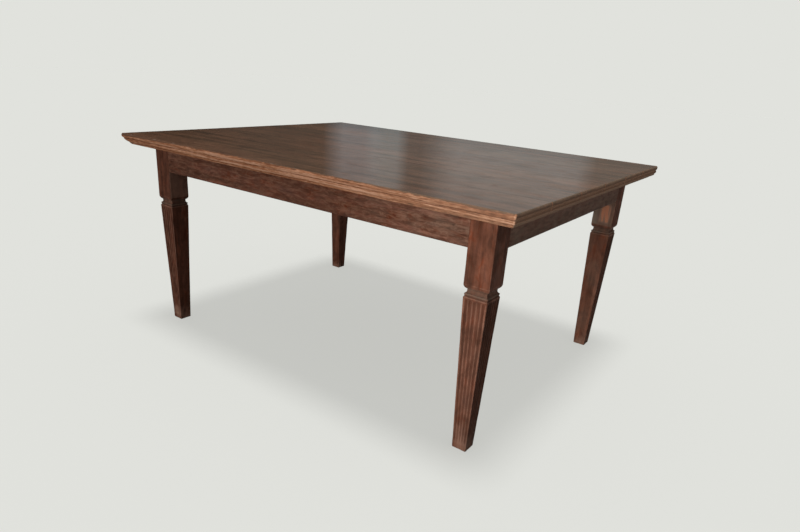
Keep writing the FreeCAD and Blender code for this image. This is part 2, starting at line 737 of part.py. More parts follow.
rail_seat = value(f"{UNDERSIDE} - Sizes.rail_screw_grip")
rail_points = [((value(x), value(y), rail_seat), (0, 0, 1)) for x, y, board in rail_screw_places]
parts.append(make_screws("rail_screws", value(size("rail_screw_grip")), rail_points))

brace_points = []
for corner, across_sign, back_sign, turn in CORNERS:
    end_seat = value(f"{INNER_X} - Sizes.brace_screw_grip")
    end_line = value(f"{LEG_Y} - {BRACE_SCREW}")
    side_seat = value(f"{INNER_Y} - Sizes.brace_screw_grip")
    side_line = value(f"{LEG_X} - {BRACE_SCREW}")
    height = value(BRACE_SCREW_Z)
    brace_points.append(((across_sign * end_seat, back_sign * end_line, height), (across_sign, 0, 0)))
    brace_points.append(((across_sign * side_line, back_sign * side_seat, height), (0, back_sign, 0)))
parts.append(make_screws("brace_screws", value(size("brace_screw_grip")), brace_points))
doc.recompute()


# Checks before anything is written

def check_cuts(body):
    """Every cut of a body has to take wood away."""
    for feature in body.Group:
        is_cut = feature.TypeId in ("PartDesign::Pocket", "PartDesign::SubtractiveLoft")
        if is_cut and feature.Shape.Volume >= feature.BaseFeature.Shape.Volume:
            raise RuntimeError(f"{feature.Name} cuts nothing")


for obj in doc.Objects:
    if "Invalid" in obj.State or "Error" in obj.State:
        raise RuntimeError(f"{obj.Name} failed: {obj.State}")
for part in parts:
    if part.Shape.isNull() or not part.Shape.isValid():
        raise RuntimeError(f"{part.Label} has no valid shape")
    if part.isDerivedFrom("PartDesign::Body"):
        if len(part.Shape.Solids) != 1:
            raise RuntimeError(f"{part.Label} is not one solid")
        check_cuts(part)

os.makedirs("parts", exist_ok=True)
for part in parts:
    part.Shape.exportStep(f"parts/{part.Label}.step")
print(f"{len(parts)} sub-parts written")
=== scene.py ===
import bpy
import numpy as np
from mathutils import Matrix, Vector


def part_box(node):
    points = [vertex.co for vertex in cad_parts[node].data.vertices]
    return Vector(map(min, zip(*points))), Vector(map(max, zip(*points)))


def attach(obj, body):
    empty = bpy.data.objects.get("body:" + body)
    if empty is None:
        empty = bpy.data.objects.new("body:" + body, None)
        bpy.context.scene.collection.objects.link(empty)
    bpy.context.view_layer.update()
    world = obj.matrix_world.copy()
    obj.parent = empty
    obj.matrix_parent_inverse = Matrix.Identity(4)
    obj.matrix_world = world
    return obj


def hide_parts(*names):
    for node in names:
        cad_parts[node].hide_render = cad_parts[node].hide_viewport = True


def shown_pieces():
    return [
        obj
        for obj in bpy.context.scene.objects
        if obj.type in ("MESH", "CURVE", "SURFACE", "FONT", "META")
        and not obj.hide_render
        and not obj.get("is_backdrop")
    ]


# The looks of a plank-top dining table in old, dark stained teak.
# Metres, in the construction's own frame: X along the table, Y towards its back, Z up from the floor.

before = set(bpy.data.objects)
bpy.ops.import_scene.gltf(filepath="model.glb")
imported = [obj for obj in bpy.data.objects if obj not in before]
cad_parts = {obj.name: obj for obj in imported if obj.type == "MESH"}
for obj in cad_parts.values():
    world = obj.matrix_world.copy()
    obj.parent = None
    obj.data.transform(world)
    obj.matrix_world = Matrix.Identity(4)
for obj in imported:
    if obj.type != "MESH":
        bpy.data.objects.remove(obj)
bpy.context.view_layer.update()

# Shapes are worked out in millimetres and put into the meshes in metres
MM = 0.001

# Sizes that the construction has too
BOARD_COUNT = 6
TABLE_HEIGHT = 762
TOP_THICKNESS = 35
APRON_FOOT = 628

# Moulding of the top: how far each point stands back from the edge and how deep it lies below the top,
# with the two quirks half filled by old wax and dirt
UPPER_ROLL_START = (2.5, 0)
UPPER_ROLL_END = (2.2, 15)
QUIRK_FLOOR = (4.2, 16)
LOWER_ROLL_START = (2.8, 17)
LOWER_ROLL_END = (4.2, 28)
FOOT_QUIRK_FLOOR = (6.2, 29)
FILLET_START = (5.5, 30)
FILLET_END = (6.5, 35)
UPPER_ROLL_BOW = 0.3
LOWER_ROLL_BOW = 0.35

# Leg: half widths, heights above the floor, bows of the neck's curves, and flutes
FOOT_HALF = 23.5
SHAFT_HALF = 37.75
BEVEL_HALF = 35
RING_HALF = 36.2
NECK_HALF = 31
OVOLO_HALF = 32.5
BLOCK_HALF = 40
SHAFT_TOP = 489
BEVEL_TOP = 493.5
RING_FOOT = 496
RING_TOP = 500
COVE_TOP = 509
NECK_TOP = 514
BLOCK_FOOT = 528
LEG_TOP = 727
COVE_BOW = 0.36
OVOLO_BOW = -0.28
FLUTE_COUNT = 5
FLUTE_RADIUS = 6.2
FLUTE_DEPTH = 2.4
FLUTE_FOOT = 24
FLUTE_TOP = 483
# From one flute's middle to the next, as a share of the width of the face
FLUTE_PITCH = 0.18

# The way into the wood from the four sides of a board or a leg: front, right, back and left
INTO_X = np.array([0, -1, 0, 1])
INTO_Y = np.array([1, 0, -1, 0])


# Numbers for wear

NOISE_CELLS = 256


def smoothstep(share):
    """A rise from 0 to 1 that starts and ends level: three times the square less twice the cube."""
    return share * share * (3 - 2 * share)


def soft_noise(first, second, first_cell, second_cell, seed):
    """Smooth noise from 0 to 1: random values on a grid of cells, joined by a smoothstep both ways."""
    grid = np.random.default_rng(seed).random((NOISE_CELLS, NOISE_CELLS))
    a, b = np.broadcast_arrays(np.asarray(first) / first_cell, np.asarray(second) / second_cell)
    low_a = np.floor(a).astype(int)
    low_b = np.floor(b).astype(int)
    share_a = smoothstep(a - low_a)
    share_b = smoothstep(b - low_b)
    this_a = low_a % NOISE_CELLS
    this_b = low_b % NOISE_CELLS
    next_a = (low_a + 1) % NOISE_CELLS
    next_b = (low_b + 1) % NOISE_CELLS
    this_row = grid[this_a, this_b] * (1 - share_a) + grid[next_a, this_b] * share_a
    next_row = grid[this_a, next_b] * (1 - share_a) + grid[next_a, next_b] * share_a
    return this_row * (1 - share_b) + next_row * share_b


def ease(low, high, number):
    """0 below low, 1 above high and a smoothstep between them."""
    return smoothstep(np.clip((number - low) / (high - low), 0, 1))


def between(low, high, fade, number):
    """1 from low to high and 0 outside, with a smoothstep across each that reaches the fade to both sides."""
    return ease(low - fade, low + fade, number) * (1 - ease(high - fade, high + fade, number))


def near(number, middle, width):
    """A bell that is 1 where a number meets the middle and fades over the width to both sides."""
    return np.exp(-((number - middle) / width) ** 2)


def total(shares, marks):
    """The sum of the marks, each times its share."""
    return sum(share * marks[name] for name, share in shares.items())


def bowed(start, end, bow, steps):
    """Points on the arc from start to end that bows out, to its right, by bow times half the chord."""
    start = np.array(start, float)
    half = (np.array(end, float) - start) / 2
    outward = np.array([-half[1], half[0]])
    turn = 2 * np.arctan(bow)
    angles = turn * np.linspace(-1, 1, steps)
    along = np.sin(angles) / np.sin(turn)
    rise = (np.cos(angles) - np.cos(turn)) / np.sin(turn)
    return start + half + along[:, None] * half + rise[:, None] * outward


# Meshes

# Edges that turn by more than this many degrees stay sharp
SHARP_TURN = 30


def put_mesh(name, points, quads, caps=(), **attributes):
    """A mesh piece from an array of points, an array of four-cornered faces and outlines that close its ends.
    Each attribute holds a number or a vector for every point."""
    mesh = bpy.data.meshes.new(name)
    corners = np.concatenate([quads.ravel(), *caps]).astype(np.int32)
    counts = np.array([4] * len(quads) + [len(cap) for cap in caps], np.int32)
    starts = np.concatenate([[0], np.cumsum(counts)[:-1]]).astype(np.int32)
    mesh.vertices.add(len(points))
    mesh.vertices.foreach_set("co", points.astype(np.float32).ravel())
    mesh.loops.add(len(corners))
    mesh.loops.foreach_set("vertex_index", corners)
    mesh.polygons.add(len(counts))
    mesh.polygons.foreach_set("loop_start", starts)
    mesh.update(calc_edges=True)
    mesh.validate()
    mesh.shade_smooth()
    mesh.set_sharp_from_angle(angle=np.radians(SHARP_TURN))
    for label, numbers in attributes.items():
        kind, field = ("FLOAT_VECTOR", "vector") if numbers.ndim == 2 else ("FLOAT", "value")
        store = mesh.attributes.new(label, kind, "POINT")
        store.data.foreach_set(field, numbers.astype(np.float32).ravel())
    piece = bpy.data.objects.new(name, mesh)
    bpy.context.scene.collection.objects.link(piece)
    return piece


def crowded(count, crowd):
    """Shares from 0 up to, not including, 1, closer together near both ends."""
    even = np.arange(count) / count
    return even - crowd * np.sin(2 * np.pi * even) / (2 * np.pi)


def ring(left, right, front, back, across, deep):
    """Stations round rectangles, anticlockwise from the front left corner, one rectangle to a row."""
    wide = right - left
    long = back - front
    x = np.hstack([left + wide * across, right + 0 * deep, right - wide * across, left + 0 * deep])
    y = np.hstack([front + 0 * across, front + long * deep, back + 0 * across, back - long * deep])
    return x, y


def round_corner(x, y, corner_x, corner_y, way_x, way_y, radius):
    """Points outside the circle that fits a corner move straight towards its centre, on to it."""
    centre_x = corner_x + way_x * radius
    centre_y = corner_y + way_y * radius
    out_x = np.maximum(way_x * (centre_x - x), 0)
    out_y = np.maximum(way_y * (centre_y - y), 0)
    away = np.hypot(out_x, out_y)
    outside = (out_x > 0) & (out_y > 0) & (away > radius)
    pull = np.where(outside, 1 - radius / np.where(outside, away, 1), 0)
    return x + way_x * out_x * pull, y + way_y * out_y * pull


def band_quads(rows, columns):
    """Faces between closed rows of stations, each row following the one before."""
    row = np.arange(rows - 1)[:, None] * columns
    here = np.arange(columns)[None, :]
    there = (here + 1) % columns
    return np.stack([row + here, row + columns + here, row + columns + there, row + there], -1).reshape(-1, 4)


def lid_grid(across, deep, edge_start, inner_start):
    """Point numbers of a grid: its rim is a row of stations, its inside is numbered on from inner_start."""
    grid = np.zeros((deep + 1, across + 1), int)
    inside = np.arange((deep - 1) * (across - 1)).reshape(deep - 1, across - 1)
    grid[1:-1, 1:-1] = inner_start + inside
    grid[0, :] = edge_start + np.arange(across + 1)
    grid[:, -1] = edge_start + across + np.arange(deep + 1)
    grid[-1, ::-1] = edge_start + across + deep + np.arange(across + 1)
    grid[1:, 0] = (edge_start + 2 * across + deep + np.arange(deep))[::-1]
    return grid


def grid_quads(grid):
    """Faces of a grid of point numbers, facing up."""
    return np.stack([grid[:-1, :-1], grid[:-1, 1:], grid[1:, 1:], grid[1:, :-1]], -1).reshape(-1, 4)


def fill_lid(x, y, across, deep):
    """Inside points of a lid: the rim points level with each, blended both ways, less the corners' blend."""
    wide = across.size
    long = deep.size
    rim = np.stack([x, y], -1)
    rim = np.vstack([rim, rim[:1]])
    front = rim[:wide + 1]
    right = rim[wide:wide + long + 1, None]
    back = rim[wide + long:2 * wide + long + 1][::-1]
    left = rim[2 * wide + long:][::-1, None]
    u = np.append(across, 1)[None, :, None]
    v = np.append(deep, 1)[:, None, None]
    sides = (1 - v) * front + v * back + (1 - u) * left + u * right
    corners = (1 - v) * ((1 - u) * front[0] + u * front[-1]) + v * ((1 - u) * back[0] + u * back[-1])
    return (sides - corners)[1:-1, 1:-1].reshape(-1, 2)


def grain_shift(seed):
    """A random move of a piece's grain, up to 3 m each way, so that no two pieces look alike."""
    return np.random.default_rng(seed).uniform(-3, 3, 3)


# The boards of the top

# Stations along and across a board, how much closer they stand near its corners, and rows down its edge
ALONG_STATIONS = 380
ACROSS_STATIONS = 44
ALONG_CROWD = 0.75
ACROSS_CROWD = 0.6
UPPER_ROLL_ROWS = 14
LOWER_ROLL_ROWS = 11
FILLET_ROWS = 4
CORNER_RADIUS = 4
# The front left corner of the top is worn away from below, more and more between these depths
LOST_CORNER_RADIUS = 60
LOST_FROM = 10
LOST_TO = 38
# Eased arrises: how far they stand back, and the depth over which that fades
ARRIS_EASE = 0.8
UPPER_ARRIS_FADE = 0.5
LOWER_ARRIS_FADE = 0.6
JOINT_EASE = 0.35
JOINT_FADE = 0.25
# Wood lost from the moulding: chips that fade below the arris, nicks, and the waver of a hand plane
CHIP_DEPTH = 1.5
CHIP_FADE = 2.2
NICK_DEPTH = 0.8
PLANE_WAVER = 0.35
# How far apart the sides lie on the path that their noise follows, so that none repeats another
BOARD_SIDE_STEP = 4000
# Places along the front edge: its left end, where the left parts of the varnish and of the spared wood end,
# and where the dustier right part starts and is full
EDGE_LEFT = -800
LEFT_SPARED_TO = -350
LEFT_VARNISH_TO = -250
EDGE_RIGHT_FROM = 100
EDGE_RIGHT = 700
# How far down the varnish reaches over the arris, how much further at the left, and how softly it ends
VARNISH_REACH = 1.5
LEFT_VARNISH_REACH = 3
VARNISH_FADE = 5
# Depths of the palest lines: the crests of the rolls, which carry painted highlight with their wear, and, on
# the ends, the lips over the quirks
UPPER_CREST = 11.5
LOWER_CREST = 24
CREST_WIDTH = 2.5
LOWER_CREST_SHARE = 1.5
UPPER_LIP = 15
LOWER_LIP = 27
LIP_WIDTH = 3
# How far the wear of the front right corner reaches
CORNER_REACH = 5
# What each mark adds to the wear and the dust of the moulding, along the front and across the ends. Along the
# front the crests' share is also painted highlight, and the right end's lower wear is painted shade
FRONT_WEAR_AND_LIGHT = {
    "all": 0.28, "bared": 0.5, "crest_wear_and_highlight": 0.34, "flecks": 0.22, "corner": 0.8,
    # The crests' share is partly painted highlight; the negative right share is painted shade against the
    # near lamp
    "left": -0.25, "right": -0.2, "fillet": -0.12,
}
END_WEAR = {"all": 0.14, "bared": 0.22, "lips": 1.1, "flecks": 0.1, "corner": 0.8, "fillet": 0.4}
FRONT_DUST = {"all": 0.08, "right": 0.12}
END_DUST = {"all": 0.36, "lips": 0.08, "fillet": 0.2}
# Dirt and painted shade in the quirks along the front, how far they spread there, dirt in the joints, and in
# the varnish over the arris
QUIRK_SPREAD = 1.1
FOOT_QUIRK_SHADE_AND_DIRT = 0.3
FOOT_QUIRK_SPREAD = 0.9
JOINT_DIRT = 2
SEAM_FADE = 2
LEFT_VARNISH_DIRT = 1.5
RIGHT_VARNISH_DIRT = 0.3
# Rubbed patches on the top, close to its front arris
RUB_WEAR = 0.3
RUB_REACH = 12
# The underside is bare and dusty
UNDERSIDE_WEAR = 0.8
UNDERSIDE_DUST = 0.5


def edge_levels():
    """Setback and depth of the moulding, from the top down: two rolls, each over a quirk, and a fillet."""
    upper = bowed(UPPER_ROLL_START, UPPER_ROLL_END, UPPER_ROLL_BOW, UPPER_ROLL_ROWS)
    lower = bowed(LOWER_ROLL_START, LOWER_ROLL_END, LOWER_ROLL_BOW, LOWER_ROLL_ROWS)
    fillet = np.linspace(FILLET_START, FILLET_END, FILLET_ROWS)
    return np.vstack([upper, [QUIRK_FLOOR], lower, [FOOT_QUIRK_FLOOR], fillet])


def edge_loss(path, depth, seed):
    """Wood lost from the moulding: noise above a threshold for chips and nicks, all of it for the waver."""
    chips = CHIP_DEPTH * ease(0.60, 0.95, soft_noise(path, depth, 11, 40, seed)) * np.exp(-depth / CHIP_FADE)
    nicks = NICK_DEPTH * ease(0.66, 0.95, soft_noise(path, depth, 16, 9, seed + 1))
    return chips + nicks + PLANE_WAVER * soft_noise(path, depth, 70, 12, seed + 2)


def edge_marks(x, y, depth, path, is_end, right, front, seed):
    """Wear with painted light, dirt with painted shade, and dust of the moulding: sums of marks by depth
    below the top and place on the edge.

    Wear starts under the torn edge of the varnish. Along the front it is strongest on the rolls' crests,
    which also carry painted highlight, and it is lessened at the right end as painted shade; across the ends
    the lips over the quirks are palest. Dirt and painted shade lie in the quirks along the front, and dirt
    darkens the varnish."""
    torn = soft_noise(path, depth, 27, 40, seed + 6) + soft_noise(path, depth, 7, 40, seed + 9)
    left_reach = LEFT_VARNISH_REACH * (1 - ease(EDGE_LEFT, LEFT_VARNISH_TO, x))
    bared = ease(0, VARNISH_FADE, depth + torn - VARNISH_REACH - left_reach)
    # The crests' wear also carries painted highlight
    crest_wear_and_highlight = near(depth, UPPER_CREST, CREST_WIDTH) + LOWER_CREST_SHARE * near(depth, LOWER_CREST, CREST_WIDTH)
    marks = {
        "all": 1,
        "bared": bared,
        "crest_wear_and_highlight": crest_wear_and_highlight * ease(0.25, 0.6, soft_noise(path, depth, 90, 9, seed + 7)),
        "lips": near(depth, UPPER_LIP, LIP_WIDTH) + near(depth, LOWER_LIP, LIP_WIDTH),
        "fillet": ease(LOWER_ROLL_END[1] - 1, FILLET_START[1], depth),
        "flecks": soft_noise(path, depth, 15, 4, seed + 8) - 0.5,
        "left": 1 - ease(EDGE_LEFT, LEFT_SPARED_TO, x),
        "right": ease(EDGE_RIGHT_FROM, EDGE_RIGHT, x),
        "corner": near(np.hypot(x - right, y - front), 0, CORNER_REACH),
    }
    worn = np.where(is_end, total(END_WEAR, marks), total(FRONT_WEAR_AND_LIGHT, marks))
    dust = np.where(is_end, total(END_DUST, marks) * (1 - marks["corner"]), total(FRONT_DUST, marks))
    # Painted shade, with dirt, in the quirks along the front
    quirk_shade_and_dirt = near(depth, QUIRK_FLOOR[1], QUIRK_SPREAD)
    quirk_shade_and_dirt = quirk_shade_and_dirt + FOOT_QUIRK_SHADE_AND_DIRT * near(depth, FOOT_QUIRK_FLOOR[1], FOOT_QUIRK_SPREAD)
    to_right = ease(EDGE_LEFT, EDGE_RIGHT, x)
    varnish_dirt = LEFT_VARNISH_DIRT + (RIGHT_VARNISH_DIRT - LEFT_VARNISH_DIRT) * to_right
    hollow = np.where(is_end, 0, quirk_shade_and_dirt + varnish_dirt * (1 - bared))
    return worn, hollow, dust


def top_marks(above, low, high, is_front, is_back, seed):
    """Rubbed patches near the front arris and dirt at the seams, both fading with the way from the edge."""
    x, y = above.T
    to_front = y - low[1]
    to_back = high[1] - y
    reach = np.minimum(x - low[0], high[0] - x)
    seams = 0 * reach
    for is_open, way in ((is_front, to_front), (is_back, to_back)):
        if is_open:
            reach = np.minimum(reach, way)
        else:
            seams = seams + JOINT_DIRT * np.exp(-way / SEAM_FADE)
    ragged = soft_noise(x, y, 14, 5, seed + 3)
    broken = ease(0.45, 0.75, soft_noise(x, y, 30, 30, seed + 5))
    at_front = is_front * (to_front < RUB_REACH)
    rubbed = RUB_WEAR * at_front * broken * np.exp(-reach / (1 + 4 * ragged))
    return rubbed, seams


def board_surface(name, low, high, is_front, is_back, seed):
    """A board as a stack of rectangles, one for each level of its edge, between a grid above and one below.

    A moulded side stands back by the profile, the eased arrises and the wear. A jointed side stands back by a
    small ease."""
    low = np.array(low) / MM
    high = np.array(high) / MM
    across = crowded(ALONG_STATIONS, ALONG_CROWD)[None, :]
    deep = crowded(ACROSS_STATIONS, ACROSS_CROWD)[None, :]
    profile = edge_levels()
    depth = profile[:, 1:]
    upper_arris = ARRIS_EASE * np.exp(-depth / UPPER_ARRIS_FADE)
    lower_arris = ARRIS_EASE * np.exp((depth - TOP_THICKNESS) / LOWER_ARRIS_FADE)
    moulded = profile[:, :1] + upper_arris + lower_arris
    jointed = JOINT_EASE * np.exp(-depth / JOINT_FADE)
    left = low[0] + moulded
    right = high[0] - moulded
    front = low[1] + (moulded if is_front else jointed)
    back = high[1] - (moulded if is_back else jointed)
    x, y = ring(left, right, front, back, across, deep)

    side = np.repeat(np.arange(4), [ALONG_STATIONS, ACROSS_STATIONS] * 2)[None, :]
    is_end = side % 2 == 1
    is_moulded = np.array([is_front, True, is_back, True])[side]
    path = np.where(is_end, y, x) + BOARD_SIDE_STEP * side
    loss = np.where(is_moulded, edge_loss(path, depth, seed), 0)
    x = x + loss * INTO_X[side]
    y = y + loss * INTO_Y[side]
    if is_front:
        lost = CORNER_RADIUS + LOST_CORNER_RADIUS * ease(LOST_FROM, LOST_TO, depth)
        x, y = round_corner(x, y, left, front, 1, 1, lost)
        x, y = round_corner(x, y, right, front, -1, 1, CORNER_RADIUS)
    if is_back:
        x, y = round_corner(x, y, left, back, 1, -1, CORNER_RADIUS)
        x, y = round_corner(x, y, right, back, -1, -1, CORNER_RADIUS)
    z = high[2] - depth + 0 * x
    rows, columns = x.shape

    above = fill_lid(x[0], y[0], across, deep)
    below = fill_lid(x[-1], y[-1], across, deep)
    points = np.vstack([
        np.stack([x.ravel(), y.ravel(), z.ravel()], -1),
        np.column_stack([above, np.full(len(above), high[2])]),
        np.column_stack([below, np.full(len(below), low[2])]),
    ])
    upper = lid_grid(ALONG_STATIONS, ACROSS_STATIONS, 0, rows * columns)
    under = lid_grid(ALONG_STATIONS, ACROSS_STATIONS, (rows - 1) * columns, rows * columns + len(above))
    quads = np.vstack([band_quads(rows, columns), grid_quads(upper), grid_quads(under)[:, ::-1]])

    worn, hollow, dust = edge_marks(x, y, depth, path, is_end, high[0], low[1], seed)
    worn = np.where(is_moulded, worn, 0)
    hollow = np.where(is_moulded, hollow, JOINT_DIRT)
    dust = np.where(is_moulded, dust, 0)
    rubbed, seams = top_marks(above, low, high, is_front, is_back, seed)
    clean = np.zeros(len(above))
    return put_mesh(
        name, points * MM, quads,
        grain=points * MM + grain_shift(seed + 4),
        worn=np.concatenate([worn.ravel(), rubbed, np.full(len(below), UNDERSIDE_WEAR)]),
        hollow=np.concatenate([hollow.ravel(), seams, clean]),
        dust=np.concatenate([dust.ravel(), clean, np.full(len(below), UNDERSIDE_DUST)]),
    )


# The legs

# Stations across a face, how much closer they stand near its arrises, and rows up the leg
FACE_STATIONS = 60
FACE_CROWD = 0.25
COVE_ROWS = 9
OVOLO_ROWS = 10
BLOCK_ROWS = 40
# The eased arris of the foot, and the height over which it fades
FOOT_EASE = 1.2
FOOT_EASE_FADE = 0.8
# Wood lost from the faces, and the radius of the worn arrises
DENT_DEPTH = 0.7
FACE_WAVER = 0.3
ARRIS_RADIUS = 1.2
ARRIS_RADIUS_SPREAD = 1.6
# How far apart the sides lie on the path that their noise follows
LEG_SIDE_STEP = 500
# How fast wear fades from an arris, and how high it reaches up from the floor
ARRIS_WEAR_FADE = 2
FOOT_WEAR_TOP = 110
# What each mark adds to the wear with painted light, the dirt with painted shade, and the dust of a leg
# The inward block faces' shares are painted light
LEG_WEAR_AND_LIGHT = {
    "block arris": 0.6, "shaft arris": 0.2, "lower rim": 0.6, "upper rim": 0.4, "long ridges": 0.36,
    "end ridges": 0.1, "foot": 0.85, "painted light front inside": 0.6, "painted light back inside": 0.3,
}
# The end faces' share is painted shade
LEG_DIRT_AND_SHADE = {"flutes": 0.75, "creases": 1, "neck": 0.3, "painted shade end face": 0.7}
LEG_DUST = {"dusty neck": 0.2, "ring": 0.2, "inner block": 0.7, "inner shaft": 0.14, "elsewhere": 0.05}
# The left legs have this share of the dust on the faces
LEFT_DUST_SHARE = 0.4
# A paler patch on the front face of one leg's block, across from the leg's middle and up from the floor
PALE_PATCH_LEFT = -13
PALE_PATCH_RIGHT = 26
PALE_PATCH_FOOT = 540
PALE_PATCH_TOP = 610
PALE_PATCH_STRENGTH = 1.5


def leg_levels():
    """Height and half width of the leg, from the foot up: tapered shaft, bevel, ring, cove, ovolo and block.
    The rows are closer at the foot and where the flutes run out."""
    shaft_z = np.concatenate([
        [0, 0.6, 1.8, 4],
        np.linspace(8, FLUTE_FOOT + 10, 14),
        np.linspace(FLUTE_FOOT + 18, FLUTE_TOP - 7, 56),
        np.linspace(FLUTE_TOP - 5, SHAFT_TOP, 12),
    ])
    taper = FOOT_HALF + (SHAFT_HALF - FOOT_HALF) * shaft_z / SHAFT_TOP
    shaft = taper - FOOT_EASE * np.exp(-shaft_z / FOOT_EASE_FADE)
    bevel_and_ring = [
        (SHAFT_TOP + 0.6, SHAFT_HALF - 0.25), (BEVEL_TOP - 0.2, BEVEL_HALF + 0.1),
        (BEVEL_TOP + 0.2, BEVEL_HALF), (RING_FOOT - 0.2, RING_HALF - 0.2),
        (RING_FOOT + 0.3, RING_HALF), (RING_TOP - 0.4, RING_HALF),
    ]
    cove = bowed((RING_HALF, RING_TOP), (NECK_HALF, COVE_TOP), COVE_BOW, COVE_ROWS)
    step = [(NECK_TOP - 0.2, NECK_HALF), (NECK_TOP, OVOLO_HALF - 0.2)]
    ovolo = bowed((OVOLO_HALF, NECK_TOP), (BLOCK_HALF, BLOCK_FOOT), OVOLO_BOW, OVOLO_ROWS)
    block_z = np.linspace(BLOCK_FOOT + 2, LEG_TOP - 1, BLOCK_ROWS)
    block = np.stack([block_z, np.full(BLOCK_ROWS, BLOCK_HALF)], -1)
    top = [(LEG_TOP, BLOCK_HALF - 0.4)]
    return np.vstack([
        np.stack([shaft_z, shaft], -1), bevel_and_ring, cove[:, ::-1], step, ovolo[:, ::-1], block, top,
    ])


def flute_depth(along, half, z):
    """Depth of the round hollows across a shaft face. They narrow with the taper and run out at both ends."""
    scale = half / SHAFT_HALF
    radius = FLUTE_RADIUS * scale
    depth = 0 * along
    for step in range(FLUTE_COUNT):
        place = (step - (FLUTE_COUNT - 1) / 2) * FLUTE_PITCH * 2 * half
        across = np.minimum(np.abs(along - place), radius)
        depth = np.maximum(depth, np.sqrt(radius ** 2 - across ** 2) - radius + FLUTE_DEPTH * scale)
    return depth * ease(FLUTE_FOOT - 6, FLUTE_FOOT + 10, z) * (1 - ease(FLUTE_TOP - 2, FLUTE_TOP + 3, z))


def leg_marks(z, half, along, path, side, outward, beside, flutes, way_x, way_y, seed):
    """Wear with painted light, dirt with painted shade, and dust of a leg: sums of marks, mostly bells or
    steps over the height, times noise.
    """
    is_long = side % 2 == 0
    faces_room = (side == 0) & ~outward
    on_shaft = 1 - ease(FLUTE_TOP, SHAFT_TOP, z)
    on_block = ease(BLOCK_FOOT - 4, BLOCK_FOOT + 4, z)
    neck = ease(SHAFT_TOP + 2, BEVEL_TOP + 3, z) * (1 - ease(NECK_TOP, BLOCK_FOOT - 4, z))
    open_arris = np.where(z > APRON_FOOT, outward & beside, True)
    broken = ease(0.45, 0.75, soft_noise(path, z, 9, 30, seed + 3))
    arris = open_arris * broken * np.exp(-(half - np.abs(along)) / ARRIS_WEAR_FADE)
    ridges = outward * on_shaft * ease(8, 30, z) * (1 - flutes / FLUTE_DEPTH)
    drifts = 0.45 + 0.55 * ease(0.2, 0.8, soft_noise(path, z, 35, 110, seed + 6))
    drifts = drifts * (1 if way_x > 0 else LEFT_DUST_SHARE)
    marks = {
        "block arris": arris * (z > SHAFT_TOP),
        "shaft arris": arris * (z <= SHAFT_TOP),
        "lower rim": near(z, SHAFT_TOP, 1.5),
        "upper rim": near(z, BLOCK_FOOT - 1, 2),
        "long ridges": ridges * is_long,
        "end ridges": ridges * ~is_long,
        "foot": (1 - ease(10, FOOT_WEAR_TOP, z)) * soft_noise(path, z, 25, 40, seed + 5),
        # Painted light: the inward faces of the blocks are made paler
        "painted light front inside": on_block * ~outward * (way_y < 0),
        "painted light back inside": on_block * ~outward * (way_y > 0),
        "flutes": flutes / FLUTE_DEPTH,
        "creases": near(z, BEVEL_TOP, 1.2) + near(z, NECK_TOP - 1, 1.5),
        "neck": neck,
        # Painted shade on the shafts' outward end faces
        "painted shade end face": on_shaft * outward * ~is_long,
        "dusty neck": neck * (0.5 + 0.5 * soft_noise(path, z, 12, 8, seed + 7)),
        "ring": near(z, RING_TOP - 0.5, 1.4),
        "inner block": drifts * faces_room * (z > BLOCK_FOOT),
        "inner shaft": drifts * faces_room * (z <= BLOCK_FOOT),
        "elsewhere": drifts * ~faces_room,
    }
    worn = np.clip(total(LEG_WEAR_AND_LIGHT, marks), 0, 1)
    hollow = np.clip(total(LEG_DIRT_AND_SHADE, marks), 0, 1)
    return worn, hollow, total(LEG_DUST, marks)


